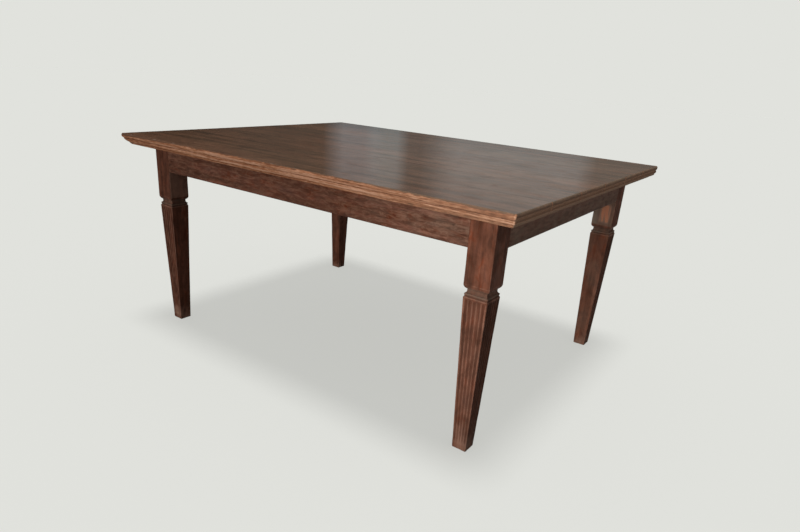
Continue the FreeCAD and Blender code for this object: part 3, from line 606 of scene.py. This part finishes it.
def leg_surface(name, low, high, way_x, way_y, has_pale_patch, seed):
    """A leg as square rings up its height. Flutes sink round hollows into its two outward shaft faces,
    and the four arrises are rounded by a radius that wanders with the wear."""
    levels = leg_levels()
    z = levels[:, :1]
    half = levels[:, 1:]
    share = crowded(FACE_STATIONS, FACE_CROWD)[None, :]
    x, y = ring(-half, half, -half, half, share, share)
    side = np.repeat(np.arange(4), FACE_STATIONS)[None, :]
    along = np.where(side % 2 == 0, x, y)
    faces_out = np.array([way_y < 0, way_x > 0, way_y > 0, way_x < 0])
    outward = faces_out[side]
    past_middle = np.tile(share, 4) > 0.5
    beside = faces_out[np.where(past_middle, side + 1, side - 1) % 4]
    flutes = np.where(outward, flute_depth(along, half, z), 0)

    path = along + LEG_SIDE_STEP * side
    dents = DENT_DEPTH * ease(0.72, 0.98, soft_noise(path, z, 14, 26, seed))
    inward = flutes + dents + FACE_WAVER * soft_noise(path, z, 30, 120, seed + 1)
    x = x + inward * INTO_X[side]
    y = y + inward * INTO_Y[side]
    for corner, (sign_x, sign_y) in enumerate(((-1, -1), (1, -1), (1, 1), (-1, 1))):
        wander = soft_noise(z, 40.0 * corner, 45, 1, seed + 2) ** 2
        radius = ARRIS_RADIUS + ARRIS_RADIUS_SPREAD * wander
        x, y = round_corner(x, y, sign_x * half, sign_y * half, -sign_x, -sign_y, radius)
    rows, columns = x.shape
    centre = (np.array(low) + np.array(high)) / 2 / MM
    points = np.stack([(x + centre[0]).ravel(), (y + centre[1]).ravel(), (z + 0 * x).ravel()], -1)
    quads = band_quads(rows, columns)[:, ::-1]
    caps = [np.arange(columns)[::-1], (rows - 1) * columns + np.arange(columns)]

    in_pale_patch = between(PALE_PATCH_LEFT, PALE_PATCH_RIGHT, 3, along) * between(PALE_PATCH_FOOT, PALE_PATCH_TOP, 4, z)
    pale_patch = has_pale_patch * (side == 0) * in_pale_patch * (0.3 + 0.9 * soft_noise(path, z, 5, 45, seed + 8))
    worn, hollow, dust = leg_marks(z, half, along, path, side, outward, beside, flutes, way_x, way_y, seed)
    return put_mesh(
        name, points * MM, quads, caps,
        grain=points[:, [2, 0, 1]] * MM + grain_shift(seed + 4),
        worn=(worn + PALE_PATCH_STRENGTH * pale_patch).ravel(),
        hollow=hollow.ravel(),
        dust=np.clip(dust * (1 - pale_patch), 0, 1).ravel(),
    )


# Materials

DUST = "8E8272"
LEG_STAINS = ("4C2C1F", "60392A", "704433", "563124")
APRON_STAINS = ("4F2F22", "623C2D", "724738", "583627")
# Patches of the stain, along and across the grain
LEG_MOTTLE = (50, 28)
APRON_MOTTLE = (42, 10)
# Length and width of the flames in the growth rings
FLAME_LENGTH = 1100
FLAME_WIDTH = 30
WOOD_IOR = 1.5
SPAN_SOCKETS = ("From Min", "From Max", "To Min", "To Max")
# Sockets of the Mix node, whose names repeat: its share, two numbers and two colours
SHARE = 0
NUMBER_A = 2
NUMBER_B = 3
FIRST = 6
SECOND = 7


def linear(hex_colour):
    """An sRGB hex colour as linear red, green, blue and alpha."""
    channels = np.array([int(hex_colour[i:i + 2], 16) for i in (0, 2, 4)]) / 255
    low = channels / 12.92
    high = ((channels + 0.055) / 1.055) ** 2.4
    return (*np.where(channels <= 0.04045, low, high), 1)


def add(tree, kind, inputs=None, stops=(), span=(), **settings):
    """A shader node with its settings, its inputs set or linked, the colour stops of a ramp, and the span of
    a range: from low and high, to low and high. A node as a source stands for its first output in use."""
    node = tree.nodes.new("ShaderNode" + kind)
    for label, setting in settings.items():
        setattr(node, label, setting)
    sources = {**(inputs or {}), **dict(zip(SPAN_SOCKETS, span))}
    for socket, source in sources.items():
        if isinstance(source, bpy.types.Node):
            source = next(output for output in source.outputs if output.enabled)
        if isinstance(source, bpy.types.NodeSocket):
            tree.links.new(source, node.inputs[socket])
        else:
            node.inputs[socket].default_value = source
    for index, (place, colour) in enumerate(stops):
        stop = node.color_ramp.elements[index] if index < 2 else node.color_ramp.elements.new(place)
        stop.position = place
        stop.color = linear(colour)
    return node


def new_material(name):
    """An empty node material and its tree."""
    material = bpy.data.materials.new(name)
    material.use_nodes = True
    material.node_tree.nodes.clear()
    return material, material.node_tree


def drawn_out(tree, place, length, width, detail=5, rough=0.6, skew=0.0):
    """Noise drawn out along the grain, to a length and a width in millimetres."""
    stretch = (1 / (length * MM), 1 / (width * MM), 1 / (width * MM))
    along = add(tree, "Mapping", {"Vector": place, "Scale": stretch})
    return add(tree, "TexNoise", {
        "Vector": along, "Scale": 1, "Detail": detail, "Roughness": rough, "Distortion": skew,
    }).outputs["Fac"]


def growth_rings(tree, place):
    """Lines of early and late wood along the grain, about 12 mm apart, that swing out into long flames."""
    stretch = (1 / (FLAME_LENGTH * MM), 1 / (FLAME_WIDTH * MM), 1 / (FLAME_WIDTH * MM))
    along = add(tree, "Mapping", {"Vector": place, "Scale": stretch})
    return add(tree, "TexWave", {
        "Vector": along, "Scale": 0.8, "Distortion": 12, "Detail": 2, "Detail Scale": 0.5,
        "Detail Roughness": 0.5,
    }, wave_type="BANDS", bands_direction="Y").outputs["Fac"]


def settle_dirt_and_shade(tree, wood, hollow, strength, dark_colour, dust):
    """The colour of wood darkened by dirt and painted shade, by a share of that darkening, and dust over
    both.
    """
    darkening = add(tree, "Math", {0: hollow, 1: strength}, operation="MULTIPLY")
    darkened = add(tree, "Mix", {SHARE: darkening, FIRST: wood, SECOND: linear(dark_colour)}, data_type="RGBA")
    return add(tree, "Mix", {SHARE: dust, FIRST: darkened, SECOND: linear(DUST)}, data_type="RGBA")


def finish_surface(tree, colour, roughness, height, height_mm, specular):
    """The shader and its bump, with the colour, roughness and height that the pattern gives."""
    bump = add(tree, "Bump", {"Height": height, "Distance": height_mm * MM, "Strength": 1})
    shader = add(tree, "BsdfPrincipled", {
        "Base Color": colour, "Roughness": roughness, "Normal": bump,
        "Specular IOR Level": specular, "IOR": WOOD_IOR,
    })
    add(tree, "OutputMaterial", {"Surface": shader})


def varnish_film(tree, place, streak):
    """Dark varnish over stained boards: a long figure with redder patches, shaded by streaks, bands, growth
    rings, mottling and the tone of each board, with a few pale specks."""
    tone = drawn_out(tree, place, 6000, 1200, detail=1, rough=0.5)
    figure = drawn_out(tree, place, 900, 30, detail=4, rough=0.55, skew=0.6)
    band = drawn_out(tree, place, 420, 8, detail=4, rough=0.55)
    blotch = drawn_out(tree, place, 260, 120, detail=4)
    mottle = drawn_out(tree, place, 150, 100, detail=7, rough=0.86, skew=0.5)
    speck = drawn_out(tree, place, 8, 6, detail=2, rough=0.5)

    stain = add(tree, "ValToRGB", {"Fac": figure}, [
        (0.30, "4A3629"), (0.46, "5F4634"), (0.58, "6F4F3C"), (0.72, "513B2E"),
    ])
    redder = add(tree, "MapRange", {"Value": blotch}, span=(0.5, 0.75, 0, 0.6))
    warm = add(tree, "Mix", {SHARE: redder, FIRST: stain, SECOND: linear("66402C")}, data_type="RGBA")
    fine = add(tree, "MapRange", {"Value": streak}, span=(0.3, 0.7, 0.88, 1.14))
    shade = add(tree, "MapRange", {"Value": band}, span=(0.3, 0.7, 0.88, fine))
    patches = add(tree, "MapRange", {"Value": mottle}, span=(0.36, 0.64, 0.8, 1.46))
    board = add(tree, "MapRange", {"Value": tone}, span=(0.4, 0.6, 0.86, 1.14))
    lined = add(tree, "MapRange", {"Value": growth_rings(tree, place)}, span=(0, 1, 0.92, 1.08))
    for part in (patches, board, lined):
        shade = add(tree, "Math", {0: shade, 1: part}, operation="MULTIPLY")
    film = add(tree, "VectorMath", {0: warm, "Scale": shade}, operation="SCALE")
    pale_speck = add(tree, "MapRange", {"Value": speck}, span=(0.72, 0.78, 0, 0.6))
    return add(tree, "Mix", {SHARE: pale_speck, FIRST: film, SECOND: linear("9C8C7A")}, data_type="RGBA")


def bare_moulding(tree, place, streak, worn):
    """The colour of bare wood on the moulding, paler where the wear and the painted highlight are stronger
    and striped along the grain, and the share of it that shows. The varnish ends raggedly, most of all close
    to the arris."""
    chip = drawn_out(tree, place, 18, 3.5, detail=2, rough=0.5)
    at = add(tree, "TexCoord").outputs["Object"]
    height = add(tree, "SeparateXYZ", {"Vector": at}).outputs["Z"]
    arris_heights = ((TABLE_HEIGHT - 7) * MM, (TABLE_HEIGHT - 2) * MM)
    raggedness = add(tree, "MapRange", {"Value": height}, span=(*arris_heights, 0.3, 0.8))
    on_worn = add(tree, "MapRange", {"Value": worn}, span=(0, 0.15, 0, raggedness))
    swing = add(tree, "Math", {0: chip, 1: 0.5}, operation="SUBTRACT")
    chipped = add(tree, "Math", {0: swing, 1: on_worn, 2: worn}, operation="MULTIPLY_ADD")
    grained = add(tree, "Math", {0: chip, 1: 0.22, 2: streak}, operation="MULTIPLY_ADD")
    striped = add(tree, "MapRange", {"Value": grained}, span=(0.4, 0.82, 0.25, 0.75))
    paler = add(tree, "Math", {0: chipped, 1: 0.4, 2: striped}, operation="MULTIPLY_ADD")
    bare = add(tree, "ValToRGB", {"Fac": paler}, [
        (0.60, "6E3C26"), (0.72, "935C3D"), (0.82, "AA7453"), (0.97, "C8977A"),
    ])
    edge = add(tree, "Math", {0: streak, 1: 0.5, 2: chipped}, operation="MULTIPLY_ADD")
    bared = add(tree, "MapRange", {"Value": edge}, span=(0.50, 0.80))
    return bare, bared


def varnish_gloss(tree, place, streak, bared):
    """Roughness and specular level: satin in hazy patches where varnish is left on the level, else dull."""
    haze = drawn_out(tree, place, 75, 50, detail=4, rough=0.55, skew=0.5)
    facing = add(tree, "NewGeometry").outputs["Normal"]
    upward = add(tree, "SeparateXYZ", {"Vector": facing}).outputs["Z"]
    level = add(tree, "MapRange", {"Value": upward}, span=(0.8, 0.98))
    filmed = add(tree, "Math", {0: level, 1: bared}, operation="SUBTRACT", use_clamp=True)
    satin = add(tree, "MapRange", {"Value": streak}, span=(0, 1, 0.05, 0.15))
    rough = add(tree, "Mix", {SHARE: filmed, NUMBER_A: 0.75, NUMBER_B: satin}, data_type="FLOAT")
    gloss = add(tree, "MapRange", {"Value": haze}, span=(0.36, 0.64, 0.16, 0.78))
    shine = add(tree, "Mix", {SHARE: filmed, NUMBER_A: 0.02, NUMBER_B: gloss}, data_type="FLOAT")
    return rough, shine


def varnished_top():
    """Teak boards under old dark varnish: a satin film that mirrors the room softly, wearing through to
    paler, dull wood on the moulding, with painted highlight and shade there too."""
    material, tree = new_material("old_varnished_teak")
    place, worn, hollow, dust = from_attributes(tree)
    streak = drawn_out(tree, place, 200, 2.4, detail=6, rough=0.65)
    pore = drawn_out(tree, place, 30, 1.1, detail=3)
    film = varnish_film(tree, place, streak)
    bare, bared = bare_moulding(tree, place, streak, worn)
    wood = add(tree, "Mix", {SHARE: bared, FIRST: film, SECOND: bare}, data_type="RGBA")
    # The dark colour is dirt at the seams and painted shade in the quirks
    colour = settle_dirt_and_shade(tree, wood, hollow, 0.34, "3E2418", dust)
    rough, shine = varnish_gloss(tree, place, streak, bared)
    relief = add(tree, "Math", {0: pore, 1: 0.5, 2: streak}, operation="MULTIPLY_ADD")
    finish_surface(tree, colour, rough, relief, 0.012, shine)
    return material


def stain_film(tree, place, streak, mottle, stains, contrast, curliness):
    """Red-brown stain: a figure along the grain, clouded by the mottling, turned orange or grey in patches,
    with pale scuffs and, in places, pale curly lines where a second noise crosses its middle."""
    figure = drawn_out(tree, place, 420, 22, skew=0.8)
    scuff = drawn_out(tree, place, 8, 3.5, detail=3)
    swirl = drawn_out(tree, place, 30, 13, detail=2, rough=0.5, skew=0.8)
    age = drawn_out(tree, place, 55, 22, detail=4, skew=0.6)

    stain = add(tree, "ValToRGB", {"Fac": figure}, list(zip((0.30, 0.48, 0.62, 0.75), stains)))
    turned = add(tree, "ValToRGB", {"Fac": age}, [
        (0.34, "FFE0CC"), (0.46, "FFFFFF"), (0.56, "FFFFFF"), (0.68, "EEF5FF"),
    ])
    aged = add(tree, "Mix", {
        SHARE: 1, FIRST: stain, SECOND: turned,
    }, data_type="RGBA", blend_type="MULTIPLY")
    cloud = add(tree, "MapRange", {"Value": mottle}, span=(0.3, 0.7, 1 - contrast, 1 + contrast))
    fine = add(tree, "MapRange", {"Value": streak}, span=(0.3, 0.7, 0.85, 1.15))
    shade = add(tree, "Math", {0: cloud, 1: fine}, operation="MULTIPLY")
    film = add(tree, "VectorMath", {0: aged, "Scale": shade}, operation="SCALE")

    off_line = add(tree, "Math", {0: swirl, 1: 0.5}, operation="SUBTRACT")
    off_line = add(tree, "Math", {0: off_line}, operation="ABSOLUTE")
    line = add(tree, "MapRange", {"Value": off_line}, span=(0, 0.09, curliness, 0))
    in_places = add(tree, "MapRange", {"Value": mottle}, span=(0.4, 0.55, 0, line))
    scratch = add(tree, "MapRange", {"Value": scuff}, span=(0.66, 0.80, 0, 0.5))
    fleck = add(tree, "Math", {0: scratch, 1: in_places}, operation="MAXIMUM")
    return add(tree, "Mix", {SHARE: fleck, FIRST: film, SECOND: linear("93705A")}, data_type="RGBA")


def frame_teak(name, place_of, stains, mottle_size, contrast, curliness):
    """Red-brown stained teak, dry and rubbed by hands: mottled stain, paler arrises, raw wood where the wear
    and painted light are strongest, dark dirt with painted shade, and grey dust."""
    material, tree = new_material(name)
    place, worn, hollow, dust = place_of(tree)
    streak = drawn_out(tree, place, 90, 2.0, detail=6, rough=0.65)
    mottle = drawn_out(tree, place, *mottle_size, detail=6, rough=0.62, skew=0.5)
    film = stain_film(tree, place, streak, mottle, stains, contrast, curliness)
    edge = add(tree, "Math", {0: mottle, 1: 0.7, 2: worn}, operation="MULTIPLY_ADD")
    bared = add(tree, "MapRange", {"Value": edge}, span=(0.55, 1.25, 0, 0.8))
    raw = add(tree, "MapRange", {"Value": worn}, span=(1.1, 1.4))
    pale = add(tree, "Mix", {
        SHARE: raw, FIRST: linear("A07B68"), SECOND: linear("CF8A69"),
    }, data_type="RGBA")
    wood = add(tree, "Mix", {SHARE: bared, FIRST: film, SECOND: pale}, data_type="RGBA")
    # The dark colour is dirt, and painted shade on the legs' end faces and on the aprons under the top
    colour = settle_dirt_and_shade(tree, wood, hollow, 0.6, "38221A", dust)
    rough = add(tree, "MapRange", {"Value": mottle}, span=(0.3, 0.7, 0.72, 0.5))
    relief = add(tree, "Math", {0: mottle, 1: 0.6, 2: streak}, operation="MULTIPLY_ADD")
    finish_surface(tree, colour, rough, relief, 0.08, 0.04)
    return material


def from_attributes(tree):
    """Grain place, wear with painted light, dirt with painted shade, and dust as the piece's own attributes
    hold them.
    """
    sockets = {"grain": "Vector", "worn": "Fac", "hollow": "Fac", "dust": "Fac"}
    return [
        add(tree, "Attribute", attribute_name=name).outputs[socket] for name, socket in sockets.items()
    ]


# Places along the table, from its middle to its right end, over which the aprons' wear with painted light,
# and their dust, change
WEAR_AND_LIGHT_PLACES = (0, 0.66)
DUST_PLACES = (0.2, 0.7)
LEAST_APRON_DUST = 0.06
# Heights over which the aprons take painted shade under the top, and over which they darken towards their
# foot
HEAD_HEIGHTS = (0.715, LEG_TOP * MM)
FOOT_HEIGHTS = (0.69, 0.632)
PAINTED_HEAD_SHADE = 0.4


def from_apron(turn, left_wear_and_light, right_wear_and_light, right_dust, foot_darkening):
    """Grain place, wear with painted light, dirt with painted shade, and dust from the place in the frame.
    The grain is turned so that its X runs along the apron. The stain is paler by one amount on the table's
    left half and by another at its right end, as wear and as painted light, and dust lies in drifts there.
    Painted shade darkens the apron just under the top, and it darkens towards its foot."""
    def places(tree):
        at = add(tree, "TexCoord").outputs["Object"]
        turned = add(tree, "Mapping", {"Vector": at, "Rotation": (0, 0, np.radians(turn))})
        ways = add(tree, "SeparateXYZ", {"Vector": at})
        along = ways.outputs["X"]
        height = ways.outputs["Z"]
        worn = add(tree, "MapRange", {"Value": along}, span=(*WEAR_AND_LIGHT_PLACES, left_wear_and_light, right_wear_and_light))
        # Painted shade just under the top
        painted_head_shade = add(tree, "MapRange", {"Value": height}, span=(*HEAD_HEIGHTS, 0, PAINTED_HEAD_SHADE))
        hollow = add(tree, "MapRange", {"Value": height}, span=(*FOOT_HEIGHTS, painted_head_shade, foot_darkening))
        lying = add(tree, "MapRange", {"Value": along}, span=(*DUST_PLACES, LEAST_APRON_DUST, right_dust))
        drifts = drawn_out(tree, at, 60, 40, detail=4)
        dust = add(tree, "MapRange", {"Value": drifts}, span=(0.3, 0.7, 0, lying))
        return turned, worn, hollow, dust
    return places


def bare_inside(name, turn):
    """Unfinished teak inside the frame: dry, greyed by age, with saw streaks along its grain."""
    material, tree = new_material(name)
    at = add(tree, "TexCoord").outputs["Object"]
    place = add(tree, "Mapping", {"Vector": at, "Rotation": (0, 0, np.radians(turn))})
    figure = drawn_out(tree, place, 380, 14, skew=0.5)
    streak = drawn_out(tree, place, 90, 2.2, detail=6, rough=0.65)
    wood = add(tree, "ValToRGB", {"Fac": figure}, [(0.30, "5F432E"), (0.50, "755439"), (0.70, "88664A")])
    fine = add(tree, "MapRange", {"Value": streak}, span=(0.3, 0.7, 0.75, 1.2))
    colour = add(tree, "VectorMath", {0: wood, "Scale": fine}, operation="SCALE")
    rough = add(tree, "MapRange", {"Value": streak}, span=(0, 1, 0.7, 0.9))
    finish_surface(tree, colour, rough, streak, 0.15, 0.25)
    return material


def screw_steel():
    """Old steel screws: dull grey, browned by rust in specks."""
    material, tree = new_material("dull_steel")
    at = add(tree, "TexCoord").outputs["Object"]
    specks = drawn_out(tree, at, 1.2, 1.2, detail=4)
    colour = add(tree, "ValToRGB", {"Fac": specks}, [(0.40, "8B8780"), (0.62, "5C4535")])
    rough = add(tree, "MapRange", {"Value": specks}, span=(0, 1, 0.35, 0.75))
    bump = add(tree, "Bump", {"Height": specks, "Distance": 0.05 * MM, "Strength": 1})
    shader = add(tree, "BsdfPrincipled", {
        "Base Color": colour, "Roughness": rough, "Metallic": 1, "Normal": bump,
    })
    add(tree, "OutputMaterial", {"Surface": shader})
    return material


# The table

def dress(piece, material):
    """Give a piece its finish, in its one material slot."""
    piece.data.materials.clear()
    piece.data.materials.append(material)


top_finish = varnished_top()
leg_finish = frame_teak(
    "red_brown_teak_legs", from_attributes, LEG_STAINS, LEG_MOTTLE, contrast=0.42, curliness=0,
)
long_finish = frame_teak(
    "red_brown_teak_long", from_apron(turn=0, left_wear_and_light=0, right_wear_and_light=0.3, right_dust=0.2, foot_darkening=0.1),
    APRON_STAINS, APRON_MOTTLE, contrast=0.40, curliness=0.3,
)
short_finish = frame_teak(
    "red_brown_teak_short", from_apron(turn=90, left_wear_and_light=0.2, right_wear_and_light=0.5, right_dust=0.3, foot_darkening=0.8),
    APRON_STAINS, APRON_MOTTLE, contrast=0.38, curliness=0.2,
)
inside_long = bare_inside("bare_teak_long", 0)
inside_short = bare_inside("bare_teak_short", 90)
steel_finish = screw_steel()

for number in range(1, BOARD_COUNT + 1):
    node = f"top_board_{number}"
    low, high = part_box(node)
    board = board_surface(f"board_{number}", low, high, number == 1, number == BOARD_COUNT, 10 * number)
    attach(board, "root")
    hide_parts(node)
    dress(board, top_finish)

LEG_CORNERS = {"front_left": (-1, -1), "front_right": (1, -1), "back_right": (1, 1), "back_left": (-1, 1)}
for number, (corner, (way_x, way_y)) in enumerate(LEG_CORNERS.items()):
    node = f"leg_{corner}"
    low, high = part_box(node)
    leg = leg_surface(f"fluted_{node}", low, high, way_x, way_y, corner == "back_right", 100 + 10 * number)
    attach(leg, "root")
    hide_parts(node)
    dress(leg, leg_finish)

for node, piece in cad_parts.items():
    if node in ("front_apron", "back_apron"):
        dress(piece, long_finish)
    elif node in ("left_apron", "right_apron"):
        dress(piece, short_finish)
    elif node.endswith("_screws"):
        dress(piece, steel_finish)
    elif node.startswith(("cross_rail", "button_front", "button_back", "corner_brace")):
        dress(piece, inside_short)
    elif node.startswith(("button", "loose_tongue")):
        dress(piece, inside_long)


# Stage: a pale floor and surround, soft light from above, two soft lamps in front, and cards for the gloss

# Colours of the surround and of what the floor throws back, and how much of a shadow shows on it
PALE = "E1E2DD"
FLOOR_BOUNCE = "787878"
FLOOR_SHADOW_SHARE = 0.31
FLOOR_REACH = 30.0
# Brightness of the even light and of the three lamps on a white surface that faces them
AMBIENT = 0.30
OVERHEAD = 0.70
FRONT = 0.40
NEAR_END = 0.60
# Where the lamps stand, what the near one is turned to, and how wide they are, in degrees or metres
OVERHEAD_PLACE = (0.05, -0.05, 3)
OVERHEAD_SPREAD = 15
FRONT_PLACE = (-0.75, -2.9, 0.3)
FRONT_SPREAD = 20
NEAR_PLACE = (0.75, -2.75, 0.5)
NEAR_AIM = (0.95, -0.55, 0.55)
NEAR_REACH = 2.2
NEAR_CONE = 46
NEAR_RADIUS = 0.35


def pale_rays(tree):
    """1 for the rays that should meet the pale surround: from the camera, from gloss and through glass."""
    path = add(tree, "LightPath")
    seen = add(tree, "Math", {
        0: path.outputs["Is Camera Ray"], 1: path.outputs["Is Glossy Ray"],
    }, operation="MAXIMUM")
    return add(tree, "Math", {0: seen, 1: path.outputs["Is Transmission Ray"]}, operation="MAXIMUM")


def set_surround():
    """A world that is pale where it is seen and an even, dimmer light otherwise."""
    world = bpy.data.worlds.new("studio")
    bpy.context.scene.world = world
    world.use_nodes = True
    tree = world.node_tree
    tree.nodes.clear()
    surround = add(tree, "Mix", {
        SHARE: pale_rays(tree), FIRST: (AMBIENT, AMBIENT, AMBIENT, 1), SECOND: linear(PALE),
    }, data_type="RGBA")
    glow = add(tree, "Background", {"Color": surround, "Strength": 1})
    add(tree, "OutputWorld", {"Surface": glow})


def lay_floor():
    """A wide pale floor that takes the table's shadow."""
    points = FLOOR_REACH * np.array([(-1, -1, 0), (1, -1, 0), (1, 1, 0), (-1, 1, 0)], float)
    floor = put_mesh("pale_floor", points, np.array([[0, 1, 2, 3]]))
    material, tree = new_material("pale_studio_floor")
    seen = pale_rays(tree)
    bounce = add(tree, "Mix", {
        SHARE: seen, FIRST: linear(FLOOR_BOUNCE), SECOND: linear(PALE),
    }, data_type="RGBA")
    matt = add(tree, "BsdfDiffuse", {"Color": bounce})
    glow = add(tree, "Emission", {"Color": linear(PALE), "Strength": 1})
    shown = add(tree, "Math", {0: seen, 1: 1 - FLOOR_SHADOW_SHARE}, operation="MULTIPLY")
    mixed = add(tree, "MixShader", {0: shown, 1: matt, 2: glow})
    add(tree, "OutputMaterial", {"Surface": mixed})
    floor.data.materials.append(material)
    floor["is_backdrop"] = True


# Cards: how far they stand from the table's middle, from where to where they reach, and their height
CARD_PLACE = 3.5
CARD_LEFT = -20.0
CARD_RIGHT = 20.0
CARD_HEIGHT = 4.5
# Places along the card and its brightness there: two soft panels on a dark ground
CARD_BANDS = [
    (-20.0, "201E1C"), (-6.5, "201E1C"), (-4.9, "3B3935"), (-3.54, "43403B"),
    (-3.32, "8B8B8C"), (-2.88, "8B8B8C"), (-2.80, "999D9D"), (-2.70, "8D928F"),
    (-2.60, "999D9D"), (-2.49, "8E9392"), (-2.39, "605F5C"), (-2.15, "605F5C"),
    (-1.75, "9C9B98"), (-0.48, "9B9B98"), (-0.38, "726F69"), (20.0, "726F69"),
]
# Heights between which the card dims and cools towards its foot, and the shares that are left of its light
CARD_DIM_FROM = 1.10
CARD_DIM_TO = 1.35
CARD_DIMMING = [(0.0, "B4CAD2"), (0.2, "E6F3F8"), (0.5, "FAFEFF"), (1.0, "FFFFFF")]


def stand_card(name, way):
    """A card beyond the back, way 1, or the front, way -1, of the table. Only gloss meets it, so that the
    varnish mirrors two soft panels. The front card is the back card turned half round the table."""
    left = way * CARD_LEFT
    right = way * CARD_RIGHT
    corners = [(left, 0), (right, 0), (right, CARD_HEIGHT), (left, CARD_HEIGHT)]
    points = np.array([(across, way * CARD_PLACE, up) for across, up in corners], float)
    card = put_mesh(name, points, np.array([[0, 1, 2, 3]]))
    material, tree = new_material(f"graded_{name}")
    at = add(tree, "TexCoord").outputs["Object"]
    ways = add(tree, "SeparateXYZ", {"Vector": at})
    share = add(tree, "MapRange", {"Value": ways.outputs["X"]}, span=(left, right))
    stops = [((place - CARD_LEFT) / (CARD_RIGHT - CARD_LEFT), colour) for place, colour in CARD_BANDS]
    bands = add(tree, "ValToRGB", {"Fac": share}, stops)
    rise = add(tree, "MapRange", {"Value": ways.outputs["Z"]}, span=(CARD_DIM_FROM, CARD_DIM_TO))
    dimming = add(tree, "ValToRGB", {"Fac": rise}, CARD_DIMMING)
    panels = add(tree, "Mix", {
        SHARE: 1, FIRST: bands, SECOND: dimming,
    }, data_type="RGBA", blend_type="MULTIPLY")
    glow = add(tree, "Emission", {"Color": panels, "Strength": 1})
    add(tree, "OutputMaterial", {"Surface": glow})
    card.data.materials.append(material)
    for rays in ("camera", "diffuse", "shadow", "transmission"):
        setattr(card, f"visible_{rays}", False)
    card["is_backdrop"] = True


def put_in_place(thing, right, up, back, place):
    """Turn a lamp or a camera so that its X, Y and Z point right, up and back, and put it in its place."""
    pose = np.eye(4)
    pose[:3, :3] = np.stack([right, up, back], -1)
    pose[:3, 3] = place
    bpy.context.scene.collection.objects.link(thing)
    thing.matrix_world = Matrix(pose.tolist())


def hang_lamp(name, kind, place, towards, strength, **settings):
    """A lamp at a place, turned to shine towards a point, that gloss does not mirror."""
    lamp = bpy.data.lights.new(name, kind)
    lamp.energy = strength
    for label, setting in settings.items():
        setattr(lamp, label, setting)
    back = np.array(place, float) - np.array(towards, float)
    back = back / np.linalg.norm(back)
    side = np.cross((0, 1, 0.01), back)
    side = side / np.linalg.norm(side)
    holder = bpy.data.objects.new(name, lamp)
    put_in_place(holder, side, np.cross(back, side), back, place)
    holder.visible_glossy = False
    return holder


set_surround()
lay_floor()
stand_card("back_card", 1)
stand_card("front_card", -1)
hang_lamp(
    "overhead_light", "SUN", OVERHEAD_PLACE, (0, 0, 0), OVERHEAD * np.pi, angle=np.radians(OVERHEAD_SPREAD),
)
front_light = hang_lamp(
    "front_light", "SUN", FRONT_PLACE, (0, 0, 0), FRONT * np.pi, angle=np.radians(FRONT_SPREAD),
)
near_light = hang_lamp(
    "near_end_light", "SPOT", NEAR_PLACE, NEAR_AIM, NEAR_END * 4 * np.pi ** 2 * NEAR_REACH ** 2,
    spot_size=np.radians(NEAR_CONE), spot_blend=1, shadow_soft_size=NEAR_RADIUS,
)
# The two lamps in front light the table alone, so that the floor keeps one soft shadow
lit = bpy.data.collections.new("lit_from_the_front")
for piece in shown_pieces():
    lit.objects.link(piece)
for lamp in (front_light, near_light):
    lamp.light_linking.receiver_collection = lit


# Camera, at the photograph's viewing angle

FOCUS_PIXELS = 590.589
FRAME_WIDTH = 800
FRAME_HEIGHT = 532
AXIS_PIXEL = (387.604, 302.061)
SENSOR_WIDTH = 36
FARTHEST_SEEN = 200
CAMERA_PLACE = (1.37787, -1.88972, 1.06034)
CAMERA_RIGHT = np.array((0.79622, 0.60186, 0.06163))
CAMERA_UP = np.array((-0.26947, 0.26158, 0.92680))

lens = bpy.data.cameras.new("photo_camera")
lens.sensor_width = SENSOR_WIDTH
lens.lens = FOCUS_PIXELS * SENSOR_WIDTH / FRAME_WIDTH
lens.shift_x = (FRAME_WIDTH / 2 - AXIS_PIXEL[0]) / FRAME_WIDTH
lens.shift_y = (AXIS_PIXEL[1] - FRAME_HEIGHT / 2) / FRAME_WIDTH
lens.clip_end = FARTHEST_SEEN
camera = bpy.data.objects.new("photo_camera", lens)
put_in_place(camera, CAMERA_RIGHT, CAMERA_UP, np.cross(CAMERA_RIGHT, CAMERA_UP), CAMERA_PLACE)
bpy.context.scene.camera = camera

bpy.context.scene.view_settings.view_transform = "Standard"
